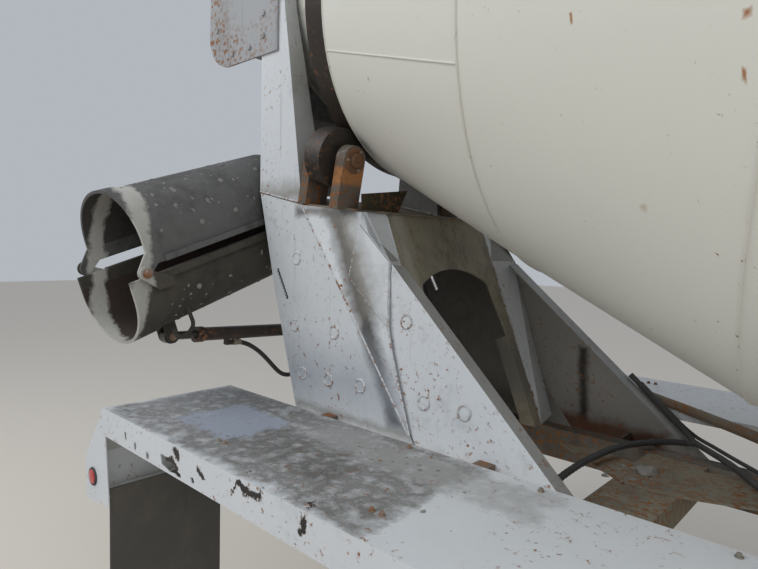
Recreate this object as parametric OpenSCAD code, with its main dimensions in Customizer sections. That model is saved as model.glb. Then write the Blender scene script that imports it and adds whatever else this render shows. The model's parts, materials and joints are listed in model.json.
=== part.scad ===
// Concrete mixer body with rear discharge, as it comes off a truck.
// Millimetres. X points forward, Y to the left, Z up.
// Z 0 is the top of the truck's frame rails, X 0 and Y 0 the middle of the pedestal's four bolts.

/* [Drum] */
// Outer radius of the straight belly
drum_r = 1220; // [1180:5:1225]
// Rise of the drum's axis toward the rear, in degrees
drum_tilt = 11; // [10.5:0.25:11.5]
// Thickness of the drum's shell
shell_t = 5; // [4:0.5:8]
// Outer radius of the rolling track
track_r = 740; // [735:1:745]
// Width of the rolling track
track_w = 108; // [90:2:120]
// Outer radius of the drum's mouth
mouth_r = 465; // [440:5:470]
// Length of the straight belly
belly_l = 1629; // [1500:1:1700]

/* [Support rollers] */
// Radius of each roller
roller_r = 125; // [110:1:130]
// Width of each roller
roller_w = 92; // [80:2:96]
// Radius of the roller's pin
pin_r = 25; // [20:1:28]
// Angle of each roller from the lowest point of the track
roller_a = 36; // [34:0.5:38]

/* [Rear pedestal] */
// Half of the pedestal's width over its side plates
side_y = 560; // [555:1:565]
// Thickness of the pedestal's plates
plate_t = 8; // [6:1:12]
// Height of the cap over the truck frame at its crease
cap_z = 1155; // [1140:5:1160]
// Height of the columns' tops
column_z = 2570; // [2400:10:2600]
// Radius of the top of the arch in the front web
arch_r = 468; // [440:2:490]
// Height of the top of the arch
arch_z = 879; // [860:1:890]
// Half width of the front web
web_y = 360; // [355:1:365]
// Width of the flange along each gusset's slope
flange_w = 73; // [60:1:80]

/* [Subframe] */
// Height of the subframe rails
rail_h = 140; // [120:5:150]
// Width of the subframe rails
rail_w = 80; // [70:5:90]
// Wall of the subframe rails
rail_t = 8; // [6:1:10]
// Outer half width of the subframe
rail_y = 430; // [425:1:435]
// Distance of the mounting bolts along the frame
bolt_dx = 980; // [900:10:1000]
// Distance of the mounting bolts across the frame
bolt_dy = 982; // [970:2:990]
// Radius of the mounting holes
bolt_hole_r = 11; // [9:0.5:13]

/* [Fenders] */
// Height of the fender's top over the truck frame
fender_z = 270; // [250:5:280]
// Width of each fender
fender_w = 610; // [560:10:640]
// Length of each fender
fender_l = 2640; // [2400:10:2800]
// Depth of the fender's outer skirt
skirt_h = 115; // [100:5:130]
// Thickness of the fender's sheet
fender_t = 4; // [3:0.5:6]
// Radius of the side lamp's lens
lamp_r = 32; // [28:1:38]

/* [Chute] */
// Outer half width of the main chute
trough_r = 200; // [190:1:203]
// Thickness of the chutes' sheet
trough_t = 5; // [4:0.5:6]
// Length of the fold-over chute
fold_l = 880; // [800:10:900]
// Distance from the chute's pivot to the fold-over's hinge
hinge_x = 1125; // [1100:5:1150]
// Swing of the stowed chute from straight back, in degrees
swing_stow = 97; // [95:0.5:98]
// Slope of the chute at rest, in degrees
chute_slope = 18; // [17:0.5:19]
// Radius of the lift cylinder's barrel
barrel_r = 33; // [30:1:36]
// Radius of the lift cylinder's rod
rod_r = 20; // [18:1:22]
// Rod that shows between gland and eye at rest
rod_show = 110; // [100:1:120]

/* [Hidden] */
$fn = 72;

// Drum: a point of its axis at the track's flange, and stations along the axis from there
axis_x = -270;
axis_z = 2020;
neck_s0 = -550;
neck_s1 = -400;
neck_r1 = 500;
neck_r2 = track_r - 80;
disc_t = 12;
track_s1 = -disc_t;
track_s0 = track_s1 - track_w;
cone_r0 = track_r + 15;
cone_s1 = 804;
cone_r1 = 1003;
cone_s2 = 1571;
belly_s1 = cone_s2 + belly_l;
front_s2 = belly_s1 + 900;
front_r2 = 760;
head_s = front_s2 + 130;
hub_r = 200;
hub_s = head_s + 20;
hub_l = 40;
gear_gap = 6;
gear_s = hub_s + hub_l + gear_gap;
stand_s = gear_s + 50;
stand_t = 25;

// Rollers
roll_gap = 0.5;
roll_s = (track_s0 + track_s1) / 2;
roll_d = track_r + roller_r + roll_gap;
bore_gap = 0.5;
lug_t = 50;
lug_r = 60;
lug_gap = 22;

// Rear pedestal outline, X and Z pairs
rear_low_x = -555;
rear_mid = [-642, 270];
rear_up = [-801, 761];
rear_top = [-923, cap_z + 64];
crease_top = [-618, cap_z];
crease_foot = [223, 0];
inner_y = side_y - plate_t;

// Front web, a plate that leans back, and the cap's front corners
web_x0 = 152;
web_a = 22.1;
web_z = cap_z - 35;
cap_front_x = web_x0 - web_z * tan(web_a) + 14;
knuckle_x = -320;

// Gussets, plates that lean inward, from the top of their slope to its foot
gusset_y = side_y + 15;
gusset_a = 5.7;
gusset_top = [-158, 915];
gusset_foot = [878, 0];
doubler_tip = [-315, 1064];
doubler_t = 6;

// Column
column_x = -925;
column_knee = [-715, 1785];
column_front = -843;
column_y0 = 147;
column_y1 = 68;
column_ky = 2020;

// Hopper plates and the funnels between them
hop_t = 10;
hop_x0 = -1363;
hop_x1 = -796;
hop_z0 = 1845;
hop_z1 = 2950;
hop_round = 180;

// Swing of the chute
swing_x = -1240;
pivot_z = 855;
trough_z = 51.5;
trough_side = 80;
collar_t = 7;
nest_gap = 8;
hinge_z = 354;
fold_in = 31;
fold_rim = 20;
fold_r = trough_r + collar_t + nest_gap + trough_t;
fold_c = 106;
trough_c = trough_z + trough_r;
main_back = -170;
main_over = 60;
eye = [970.4, -15.9];
base_pin = [100, 490];
eye_rest = [918, 540];
lift_len = sqrt(pow(eye_rest[0] - base_pin[0], 2) + pow(eye_rest[1] - base_pin[1], 2));
lift_a = atan((eye_rest[1] - base_pin[1]) / (eye_rest[0] - base_pin[0]));

white = [0.86, 0.88, 0.9];
grey = [0.45, 0.44, 0.42];
dark = [0.2, 0.19, 0.18];
rust = [0.45, 0.3, 0.2];

// Place children on the drum's axis, local Z forward along the axis, local X down
module on_axis(s) {
    translate([axis_x, 0, axis_z])
        rotate([0, 90 + drum_tilt, 0])
            translate([0, 0, s])
                children();
}

// Turned sheet along the drum's axis through points of radius and station
module turned(points, t) {
    n = len(points);
    on_axis(0)
        rotate_extrude($fn = 120)
            polygon(concat(points,
                [for (i = [n - 1:-1:0]) [points[i][0] - t, points[i][1]]]));
}

// Plate drawn in X and Z, from y0 toward +Y by t
module plate_xz(points, y0, t) {
    translate([0, y0 + t, 0])
        rotate([90, 0, 0])
            linear_extrude(t)
                polygon(points);
}

// Plate drawn in Y and Z, from x0 toward +X by t
module plate_yz(points, x0, t) {
    translate([x0, 0, 0])
        rotate([90, 0, 90])
            linear_extrude(t)
                polygon(points);
}

module box(x0, x1, y0, y1, z0, z1) {
    translate([x0, y0, z0])
        cube([x1 - x0, y1 - y0, z1 - z0]);
}

// Closed solid over two loops of the same count
module prism(low, high) {
    n = len(low);
    polyhedron(
        points = concat(low, high),
        faces = concat([[for (i = [0:n - 1]) i]], [[for (i = [n - 1:-1:0]) n + i]],
            [for (i = [0:n - 1]) [i, n + i, n + (i + 1) % n, (i + 1) % n]]));
}

// Hose or round bar of radius r through the points, as a smooth sweep
sides = 10;

function unit(v) = v / norm(v);
function between(a, b, c, d, s) = 0.5 * (2 * b + (c - a) * s
    + (2 * a - 5 * b + 4 * c - d) * s * s + (3 * b - a - 3 * c + d) * pow(s, 3));
function route(p, k) = concat([for (i = [0:len(p) - 2], j = [0:k - 1])
    between(p[max(i - 1, 0)], p[i], p[i + 1], p[min(i + 2, len(p) - 1)], j / k)],
    [p[len(p) - 1]]);
function headings(q) = [for (i = [0:len(q) - 1])
    unit(q[min(i + 1, len(q) - 1)] - q[max(i - 1, 0)])];
function square_to(v, t) = unit(v - (v * t) * t);
function carried(t, v0) = [for (i = 0, v = square_to(v0, t[0]); i < len(t); i = i + 1,
    v = i < len(t) ? square_to(v, t[i]) : v) v];

module hose(p, r, k) {
    q = route(p, k);
    t = headings(q);
    v = carried(t, [0.31, 0.22, 0.93]);
    last = (len(q) - 1) * sides;
    polyhedron(
        points = [for (i = [0:len(q) - 1], a = [0:sides - 1])
            q[i] + r * (cos(a * 360 / sides) * v[i] + sin(a * 360 / sides) * cross(t[i], v[i]))],
        faces = concat([[for (a = [0:sides - 1]) a]], [[for (a = [sides - 1:-1:0]) last + a]],
            [for (i = [0:sides:last - 1], a = [0:sides - 1]) [i + a, i + sides + a,
                i + sides + (a + 1) % sides]],
            [for (i = [0:sides:last - 1], a = [0:sides - 1]) [i + a,
                i + sides + (a + 1) % sides, i + (a + 1) % sides]]));
}

// Subframe
rail_x0 = -545;
rail_x1 = 4700;

module rail() {
    difference() {
        box(rail_x0, rail_x1, -rail_y, -rail_y + rail_w, 0, rail_h);
        box(rail_x0 - 1, rail_x1 + 1, -rail_y - 1, -rail_y + rail_w - rail_t,
            rail_t, rail_h - rail_t);
    }
}

module subframe_rail_right() {
    color(grey)
        rail();
}

module subframe_rail_left() {
    color(grey)
        mirror([0, 1, 0])
            rail();
}

// Start and width of each crossmember
cross_at = [[-500, 100], [585, 225], [1290, 100], [2300, 100], [3300, 100], [4590, 100]];
cross_h = 100;
cross_top = rail_h - 6;
cover_t = 6;
cover = [[280, 170], [460, 40], [620, -60], [740, -80], [1020, 30], [1370, 190], [1370, 330],
    [970, 330], [580, 170], [420, 205]];

// Channel, open below, with rounded ends against the rails
module crossmembers() {
    color(grey) {
        for (c = cross_at)
            difference() {
                box(c[0], c[0] + c[1], -rail_y + rail_w, rail_y - rail_w, cross_top - cross_h,
                    cross_top);
                box(c[0] + plate_t, c[0] + c[1] - plate_t, -rail_y + rail_w - 1,
                    rail_y - rail_w + 1, cross_top - cross_h - 1, cross_top - plate_t);
            }
        // Cover plate over two of them
        translate([0, 0, cross_top])
            linear_extrude(cover_t)
                polygon(cover);
    }
}

foot_w = 110;
foot_t = 12;

// Bolted foot between a rail and a side plate; it ends at half width y
module outrigger(y) {
    difference() {
        box(-foot_w / 2, foot_w / 2, -y, -rail_y, 0, foot_t);
        translate([0, -bolt_dy / 2, -1])
            cylinder(h = foot_t + 2, r = bolt_hole_r);
    }
    box(-foot_w / 2, -foot_w / 2 + plate_t, -y, -rail_y, foot_t, rail_h);
    box(foot_w / 2 - plate_t, foot_w / 2, -y, -rail_y, foot_t, rail_h);
}

module outriggers() {
    color(grey)
        for (m = [0, 1])
            mirror([0, m, 0]) {
                translate([-bolt_dx / 2, 0, 0])
                    outrigger(inner_y);
                difference() {
                    translate([bolt_dx / 2, 0, 0])
                        outrigger(gusset_y);
                    gusset_lean()
                        box(-1000, 1000, -100, plate_t, -100, 400);
                }
            }
}

// Rear pedestal
slot_a = [-780, 854];
slot_b = [-711, 735];
slot_r = 10;
mark_r = 25;
mark_h = 2;
weld_gap = 0.3;
side_marks = [[-391, 612], [-651, 614], [-644, 914], [-422, 407], [-592, 408], [-233, 416]];
gusset_marks = [[71, 407], [250, 407], [-46, 692]];

// In front of the crease line the panel turns inward until it meets the gusset's top
crease_len = norm(crease_foot - crease_top);
crease_n = [crease_top[1] - crease_foot[1], crease_foot[0] - crease_top[0]] / crease_len;
bend = (side_y - gusset_half(gusset_top[1])) / past_crease(gusset_top);
bend_s = sqrt(1 + bend * bend);

function past_crease(p) = (p - crease_top) * crease_n;
function gusset_half(z) = gusset_y - z * tan(gusset_a);
function crease_at(z) = crease_foot[0] + (crease_top[0] - crease_foot[0]) * z / crease_top[1];
function bent(p) = [p[0], bend * past_crease(p) - side_y, p[1]];
function on_web(z) = [web_x0 - z * tan(web_a), -web_y - weld_gap, z];

// Plate on the bent panel's plane, from lift over it to t below that
module bent_plate(points, lift, t) {
    prism([for (p = points) bent(p) + [0, (t - lift) * bend_s, 0]],
        [for (p = points) bent(p) - [0, lift * bend_s, 0]]);
}

module side_shape() {
    difference() {
        plate_xz([[rear_low_x, 0], rear_mid, rear_up, rear_top, crease_top, crease_foot],
            -side_y, plate_t);
        for (p = [0:0.125:1])
            translate([slot_a[0] + p * (slot_b[0] - slot_a[0]), 1 - side_y + plate_t,
                slot_a[1] + p * (slot_b[1] - slot_a[1])])
                rotate([90, 0, 0])
                    cylinder(h = plate_t + 2, r = slot_r, $fn = 24);
    }
    for (m = side_marks)
        translate([m[0], -side_y, m[1]])
            rotate([90, 0, 0])
                cylinder(h = mark_h, r = mark_r, $fn = 32);
}

// Front edge of the bent panel, and the doubler that the gusset's top is welded to
panel_front = [[-95, 569], [-126, 664], gusset_top, doubler_tip];
doubler = [doubler_tip - [2, 2], [-325, 849], [-267, 789], [-128, 666], gusset_top - [3, 0]];
panel_low = 276;

module bent_panel() {
    bent_plate(concat([[crease_at(cap_z) + weld_gap, cap_z],
        [crease_at(panel_low) + weld_gap, panel_low]], panel_front,
        [[knuckle_x, cap_z - 10]]), 0, plate_t);
}

// Folded closing plate between the bent panel, the gusset's inner face and the web's edge.
// Its corners turn counter-clockwise seen from the front.
module closing_plate() {
    behind = [0, plate_t * bend_s + weld_gap, 0];
    corners = [bent([knuckle_x, cap_z - 10]) + behind, bent(doubler_tip) + behind,
        bent(gusset_top) + behind, [50, weld_gap - inner_y, rail_h], on_web(rail_h),
        on_web(gusset_top[1]), on_web(cap_z - 10)];
    folds = [[0, 1, 6], [1, 5, 6], [1, 2, 5], [2, 3, 4], [2, 4, 5]];
    back = [-plate_t / cos(web_a), 0, 0];
    polyhedron(
        points = concat(corners, [for (c = corners) c + back]),
        faces = concat([for (f = folds) [f[0], f[2], f[1]]],
            [for (f = folds) [f[0] + 7, f[1] + 7, f[2] + 7]],
            [for (i = [0:6]) [i + 7, i, (i + 1) % 7, (i + 1) % 7 + 7]]));
}

// What lies over the cap's underside, over the whole width
module over_cap() {
    low = plate_t + weld_gap;
    plate_xz([[rear_top[0] - 20, rear_top[1] - low], [rear_top[0], rear_top[1] - low],
        [crease_top[0], crease_top[1] - low], [cap_front_x, web_z - low],
        [cap_front_x + 40, web_z - low], [cap_front_x + 40, 1400], [rear_top[0] - 20, 1400]],
        -side_y - 60, 2 * side_y + 120);
}

module pedestal_side() {
    difference() {
        side_shape();
        cap_block(60);
    }
    difference() {
        bent_panel();
        over_cap();
    }
    difference() {
        closing_plate();
        over_cap();
    }
    bent_plate(doubler, doubler_t + weld_gap, doubler_t);
}

module pedestal_side_right() {
    color(white)
        pedestal_side();
}

module pedestal_side_left() {
    color(white)
        mirror([0, 1, 0])
            pedestal_side();
}

// Frame of the leaning gusset: its outer face is local Y 0, and inward is +Y
module gusset_lean() {
    translate([0, -gusset_y, 0])
        rotate([-gusset_a, 0, 0])
            children();
}

// Outline behind the bent panel, down to the crease's foot
gusset_back = [[225, 0], [26, 276], [-45, 330], [-165, 560], [-175, 700], [-163, 755],
    [-138, 775], [-149, 862]];

function leant(p) = [p[0], p[1] / cos(gusset_a)];

module gusset() {
    slope = (gusset_foot - gusset_top) / norm(gusset_foot - gusset_top);
    drop = plate_t * [slope[1], -slope[0]];
    tip = gusset_top + 18 * slope;
    difference() {
        gusset_lean() {
            plate_xz([for (p = concat([tip, gusset_foot], gusset_back)) leant(p)], 0, plate_t);
            plate_xz([leant(tip), leant(gusset_foot), leant(gusset_foot + drop - 9 * slope),
                leant(tip + drop)], 0, flange_w);
            for (m = gusset_marks)
                translate([m[0], 0, m[1]])
                    rotate([90, 0, 0])
                        cylinder(h = mark_h, r = mark_r, $fn = 32);
        }
        box(-1000, 1000, -side_y - 100, 0, -100, 0);
    }
}

module pedestal_gusset_right() {
    color(white)
        gusset();
}

module pedestal_gusset_left() {
    color(white)
        mirror([0, 1, 0])
            gusset();
}

// Frame of the leaning web: its front face is local X 0
module web_frame() {
    translate([web_x0, 0, 0])
        rotate([0, -web_a, 0])
            children();
}

// Half width of the opening between the legs, low and at the arch's springing
leg_low = [292, 600];
leg_top = [250, 868];
reveal = 70;

module pedestal_web() {
    top = arch_z / cos(web_a);
    color(white)
        difference() {
            web_frame()
                difference() {
                    union() {
                        box(-plate_t, 0, -web_y, web_y, 100, 1300);
                        for (m = [0, 1])
                            mirror([0, m, 0])
                                box(-reveal, 0, leg_low[0], leg_low[0] + plate_t, 100, leg_low[1]);
                    }
                    plate_yz([[-leg_low[0], 0], [-leg_low[0], leg_low[1]], [-leg_top[0], leg_top[1]],
                        [leg_top[0], leg_top[1]], [leg_low[0], leg_low[1]], [leg_low[0], 0]],
                        -plate_t - 1, plate_t + 2);
                    intersection() {
                        translate([-plate_t - 1, 0, top - arch_r])
                            rotate([0, 90, 0])
                                cylinder(h = plate_t + 2, r = arch_r);
                        box(-50, 50, -leg_top[0], leg_top[0], leg_top[1] - 1, 1500);
                    }
                }
            cap_block(200);
            box(-1000, 1000, -web_y - 1, web_y + 1, -200, rail_h);
        }
}

module pedestal_rear_wall() {
    color(white)
        difference() {
            plate_xz([[rear_low_x, 0], rear_mid, rear_up, rear_top,
                [rear_top[0] + plate_t, rear_top[1]], [rear_up[0] + plate_t, rear_up[1]],
                [rear_mid[0] + plate_t, rear_mid[1]], [rear_low_x + plate_t, 0]],
                -inner_y, 2 * inner_y);
            cap_block(60);
        }
}

// Cap of the pedestal; up is how far it reaches over its top, to cut other pieces to it
module cap_block(up) {
    knuckle_y = 6 - bent([knuckle_x, web_z])[1];
    intersection() {
        plate_xz([[rear_top[0], rear_top[1] - plate_t], [crease_top[0], crease_top[1] - plate_t],
            [cap_front_x, web_z - plate_t], [cap_front_x, web_z + up],
            [crease_top[0], crease_top[1] + up], [rear_top[0], rear_top[1] + up]],
            -side_y, 2 * side_y);
        linear_extrude(4000)
            polygon([[rear_top[0], -side_y], [crease_top[0], -side_y],
                [knuckle_x + 6, -knuckle_y], [cap_front_x, -web_y - 4], [cap_front_x, web_y + 4],
                [knuckle_x + 6, knuckle_y], [crease_top[0], side_y], [rear_top[0], side_y]]);
    }
}

// Small upright plate on the cap, seen from the front
shelf_x = -334;
shelf = [[-476, web_z - 2], [-256, web_z - 2], [-191, web_z + 106], [-478, web_z + 69]];

module pedestal_cap() {
    color(white) {
        cap_block(0);
        plate_yz(shelf, shelf_x, plate_t);
    }
}

module column_box(t) {
    intersection() {
        plate_xz([[column_x + t, rear_top[1] - (t > 0 ? 5 : 0) + t * 0.21],
            [crease_top[0] - t, crease_top[1] + t * 0.21 - (t > 0 ? 5 : 0)],
            [column_knee[0] - t, column_knee[1]], [column_front - t, column_z - t],
            [column_x + t, column_z - t]], -side_y, 400);
        plate_yz([[-side_y + t, cap_z - 100], [-side_y + column_y0 - t, cap_z - 100],
            [-side_y + column_y1 - t, column_ky], [-side_y + column_y1 - t, column_z - t],
            [-side_y + t, column_z - t]], column_x, 400);
    }
}

module column() {
    difference() {
        column_box(0);
        column_box(plate_t);
        cap_block(0);
    }
}

module column_right() {
    color(white)
        column();
}

module column_left() {
    color(white)
        mirror([0, 1, 0])
            column();
}

// Hopper plates
hop_bolts = [[-900, 1930], [-900, 2030], [-900, 2130], [-860, 2230], [-1290, 2040],
    [-1150, 1900], [-1010, 1900], [-900, 2330]];

module hopper_plate() {
    translate([0, -side_y, 0])
        rotate([90, 0, 0])
            linear_extrude(hop_t)
                union() {
                    translate([hop_x0 + hop_round, hop_z0 + hop_round])
                        circle(r = hop_round);
                    translate([hop_x0 + hop_round, hop_z0])
                        square([hop_x1 - hop_x0 - hop_round, hop_round + 1]);
                    polygon([[hop_x0, hop_z0 + hop_round], [hop_x1, hop_z0 + hop_round],
                        [hop_x1, 2500], [-900, hop_z1], [hop_x0 + 40, hop_z1]]);
                }
    for (b = hop_bolts)
        translate([b[0], -side_y - hop_t, b[1]])
            rotate([90, 0, 0])
                cylinder(h = 8, r = 14, $fn = 6);
}

module hopper_plate_right() {
    color(white)
        hopper_plate();
}

module hopper_plate_left() {
    color(white)
        mirror([0, 1, 0])
            hopper_plate();
}

// Charge hopper, a four-sided funnel with a round spout into the drum's mouth
hopper_top_x0 = -1480;
hopper_top_x1 = -800;
hopper_low_z = 2560;
spout_r = 150;

module hopper_form(t) {
    hull() {
        box(hopper_top_x0 + t, hopper_top_x1 - t, -side_y + t, side_y - t,
            hop_z1 - 1 + (t > 0 ? 2 : 0), hop_z1 + (t > 0 ? 2 : 0));
        box(-1210 + t, -910 - t, -150 + t, 150 - t, hopper_low_z - (t > 0 ? 2 : 0),
            hopper_low_z + 1);
    }
}

module hopper_spout(r) {
    translate([-1060, 0, hopper_low_z - 10])
        rotate([0, 180 - 38, 0])
            translate([0, 0, -60])
                cylinder(h = 460, r = r);
}

module charge_hopper() {
    color(white)
        difference() {
            union() {
                hopper_form(0);
                difference() {
                    hopper_spout(spout_r);
                    box(-2000, 0, -500, 500, hopper_low_z, 3000);
                }
            }
            hopper_form(6);
            hopper_spout(spout_r - 6);
        }
}

// Collector under the drum's mouth; half of its plan, narrower toward the rear
coll_plan = [[column_x - 3, 462], [-1020, 455], [-1345, 215]];
coll_spout = 100;
coll_z0 = 1260;
coll_z1 = 1500;
coll_z2 = 1820;
coll_z3 = 2100;
coll_t = 5;
coll_lip = [-880, 360, 1600];
neck_clear = 25;

module coll_outline(t) {
    n = len(coll_plan) - 1;
    offset(delta = -t)
        polygon(concat([for (p = coll_plan) [p[0], -p[1]]], [for (i = [n:-1:0]) coll_plan[i]]));
}

module collector_form(t, cut) {
    e = cut ? 2 : 0;
    hull() {
        box(coll_plan[2][0] + t, swing_x + coll_spout - t, -coll_spout + t, coll_spout - t,
            coll_z1 - e, coll_z1 + 1);
        translate([0, 0, coll_z2 - 1 + e])
            linear_extrude(1)
                coll_outline(t);
        box(coll_lip[0] - t - 1, coll_lip[0] - t + e, -coll_lip[1] + t, coll_lip[1] - t,
            coll_lip[2] + 2 * e, coll_lip[2] + 1 + 4 * e);
    }
}

module collector() {
    color(grey)
        difference() {
            union() {
                difference() {
                    collector_form(0, false);
                    collector_form(coll_t, true);
                }
                difference() {
                    box(coll_plan[2][0], swing_x + coll_spout, -coll_spout, coll_spout, coll_z0,
                        coll_z1);
                    box(coll_plan[2][0] + coll_t, swing_x + coll_spout - coll_t,
                        -coll_spout + coll_t, coll_spout - coll_t, coll_z0 - 1, coll_z1 + 1);
                }
                difference() {
                    translate([0, 0, coll_z2 - 1])
                        linear_extrude(coll_z3 - coll_z2 + 1)
                            coll_outline(0);
                    for (x = [0, 3 * coll_t])
                        translate([x, 0, coll_z2 - 2])
                            linear_extrude(coll_z3 - coll_z2 + 4)
                                coll_outline(coll_t);
                }
                // Ears against the columns' rear faces
                for (m = [0, 1])
                    mirror([0, m, 0])
                        box(-990, column_x, coll_plan[0][1] - 7, inner_y, coll_z2 + 30, coll_z2 + 80);
            }
            on_axis(neck_s0 - neck_clear)
                cylinder(h = 400, r = neck_r1 + neck_clear, $fn = 120);
        }
}

// Roller brackets and rollers, local X down and local Y across on the drum's axis
module at_roller(side, s) {
    on_axis(s)
        translate([roll_d * cos(roller_a), side * roll_d * sin(roller_a), 0])
            children();
}

front_lug_s = track_s1 + lug_gap;
rear_lug_s = track_s0 - lug_gap - lug_t;
column_gap = 2;

module lug() {
    cylinder(h = lug_t, r = lug_r);
    translate([0, -lug_r, 0])
        cube([320, 2 * lug_r, lug_t]);
}

module roller_bracket(side) {
    difference() {
        union() {
            at_roller(side, front_lug_s)
                lug();
            at_roller(side, rear_lug_s)
                lug();
            at_roller(side, rear_lug_s - 8)
                cylinder(h = front_lug_s + lug_t + 16 - rear_lug_s, r = pin_r);
        }
        plate_xz([[rear_top[0], 0], [cap_front_x, 0], [cap_front_x, web_z], crease_top, rear_top],
            -side_y - 100, 2 * side_y + 200);
        box(rear_top[0], crease_top[0] + column_gap, -side_y, side_y, cap_z, cap_z + 250);
    }
}

module roller_bracket_right() {
    color(rust)
        roller_bracket(-1);
}

module roller_bracket_left() {
    color(rust)
        roller_bracket(1);
}

module roller(side) {
    at_roller(side, roll_s - roller_w / 2)
        difference() {
            cylinder(h = roller_w, r = roller_r);
            translate([0, 0, -1])
                cylinder(h = roller_w + 2, r = pin_r + bore_gap);
        }
}

module roller_right() {
    color(dark)
        roller(-1);
}

module roller_left() {
    color(dark)
        roller(1);
}

// Fenders
fender_y1 = 1220;
fender_y0 = fender_y1 - fender_w;
fender_x0 = -1090;
apron = [[-1090, fender_z], [-1252, 57], [-1281, 18], [-1276, -173]];
lamp_x = -1196;
lamp_z = -53;
rust_holes = [
    [[-879, 196], [-870, 204], [-862, 196], [-870, 186]],
    [[-800, 190], [-789, 204], [-776, 190], [-783, 168], [-797, 170]],
    [[-700, 176], [-688, 193], [-672, 182], [-676, 163], [-694, 162]],
    [[-585, 208], [-560, 214], [-540, 197], [-500, 201], [-470, 182], [-440, 178],
        [-432, 165], [-462, 161], [-480, 167], [-520, 163], [-548, 170], [-575, 174]],
    [[-373, 186], [-355, 190], [-345, 176], [-362, 167]]];

skirt_z = fender_z - skirt_h;
fender_x1 = fender_x0 + fender_l;

module fender() {
    // Top and slanted rear apron, one bent sheet
    plate_xz([[fender_x1, fender_z], apron[0], apron[1], apron[2], apron[3],
        [apron[3][0] + fender_t, apron[3][1]], [apron[2][0] + fender_t, apron[2][1] - 1],
        [apron[1][0] + 2, apron[1][1] - 5], [apron[0][0] + 2, fender_z - fender_t],
        [fender_x1, fender_z - fender_t]], -fender_y1, fender_w);
    // Outer skirt with the lamp's panel
    difference() {
        plate_xz([[fender_x1, fender_z], apron[0], apron[1], apron[2], apron[3],
            [-1035, -143], [-1070, skirt_z], [fender_x1, skirt_z]], -fender_y1, fender_t);
        for (h = rust_holes)
            plate_xz(h, -fender_y1 - 5, 15);
    }
    box(fender_x0, fender_x1, -fender_y0 - fender_t, -fender_y0, fender_z - 40, fender_z);
    box(fender_x1 - fender_t, fender_x1, -fender_y1, -fender_y0, skirt_z, fender_z);
    box(flap_x - 25, flap_x, -fender_y1 + fender_t, -fender_y0, -150, -120);
}

flap_x = -1178;
flap_t = 8;
flap_z = -720;

module fender_right() {
    color(white)
        fender();
}

module fender_left() {
    color(white)
        mirror([0, 1, 0])
            fender();
}

arm = 60;
arm_x = [-420, 330];
far_arm_x = 1300;

module fender_arm_set() {
    arm_z = fender_z - fender_t;
    box(arm_x[0], arm_x[0] + arm, -fender_y1 + 80, -side_y, arm_z - arm, arm_z);
    difference() {
        box(arm_x[1], arm_x[1] + arm, -fender_y1 + 80, -inner_y, arm_z - arm, arm_z);
        gusset_lean()
            box(-1000, 1000, 0, 200, -100, 600);
    }
    box(far_arm_x, far_arm_x + arm, -fender_y0 - 150, -rail_y, rail_h - arm, rail_h);
    box(far_arm_x, far_arm_x + arm, -fender_y0 - 150, -fender_y0 - 150 + arm, rail_h, arm_z);
}

module fender_arms() {
    color(grey)
        for (m = [0, 1])
            mirror([0, m, 0])
                difference() {
                    fender_arm_set();
                    fender();
                }
}

module side_lamps() {
    color([0.7, 0.05, 0.05])
        for (m = [0, 1])
            mirror([0, m, 0])
                translate([lamp_x, -fender_y1, lamp_z])
                    rotate([90, 0, 0]) {
                        cylinder(h = 6, r = lamp_r + 6);
                        cylinder(h = 14, r = lamp_r);
                    }
}

module mud_flaps() {
    color(dark)
        for (m = [0, 1])
            mirror([0, m, 0])
                box(flap_x, flap_x + flap_t, -fender_y1 + 60, -fender_y0, flap_z, -120);
}

// Bearing of the swing post on the rear wall
post_r = 35;
post_gap = 0.5;
eye_r = 65;
low_z = [200, 300];
high_z = [600, 690];

module swing_arm(z0, z1) {
    difference() {
        union() {
            translate([swing_x, 0, z0])
                cylinder(h = z1 - z0, r = eye_r);
            box(swing_x, -500, -eye_r, eye_r, z0, z1);
        }
        translate([swing_x, 0, z0 - 1])
            cylinder(h = z1 - z0 + 2, r = post_r + post_gap);
    }
}

module swing_bearing() {
    color(white)
        difference() {
            union() {
                swing_arm(low_z[0], low_z[1]);
                swing_arm(high_z[0], high_z[1]);
            }
            plate_xz([[rear_low_x, 0], rear_mid, rear_up, rear_top, [0, rear_top[1]], [0, 0]],
                -inner_y, 2 * inner_y);
        }
}

// Front pedestal and drive; the stand's middle follows the gearbox along the axis
stand_x = axis_x + stand_s * cos(drum_tilt);
stand_y = 240;
stand_base = 16;
case_l = 190;
case_end_l = 80;

module front_pedestal() {
    floor_z = rail_h + stand_base;
    color(white) {
        box(stand_x - 266, stand_x + 374, -rail_y, rail_y, rail_h, floor_z);
        difference() {
            on_axis(stand_s)
                translate([-hub_r - 70, -stand_y, 0])
                    cube([1500, 2 * stand_y, stand_t]);
            on_axis(stand_s - 1)
                cylinder(h = stand_t + 2, r = hub_r);
            box(stand_x - 900, stand_x + 1000, -600, 600, -2000, floor_z);
        }
        for (m = [0, 1])
            mirror([0, m, 0])
                difference() {
                    plate_xz([[stand_x - 296, 0], [stand_x + 354, 0], [stand_x + 354, floor_z],
                        [stand_x + 184, 1250], [stand_x + 154, 1500], [stand_x - 96, 1500]],
                        -stand_y - 12, 12);
                    on_axis(stand_s - 40 - 2000)
                        translate([-2000, -1000, 0])
                            cube([4000, 2000, 2000]);
                    box(stand_x - 900, stand_x + 1000, -600, 600, -2000, floor_z);
                }
    }
}

module drive_gearbox() {
    color(grey) {
        on_axis(gear_s)
            cylinder(h = stand_s + stand_t + case_l - gear_s, r = hub_r);
        on_axis(stand_s + stand_t)
            cylinder(h = 25, r = hub_r + 36);
        on_axis(stand_s + stand_t + case_l)
            cylinder(h = case_end_l, r1 = hub_r, r2 = 130);
    }
}

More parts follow.
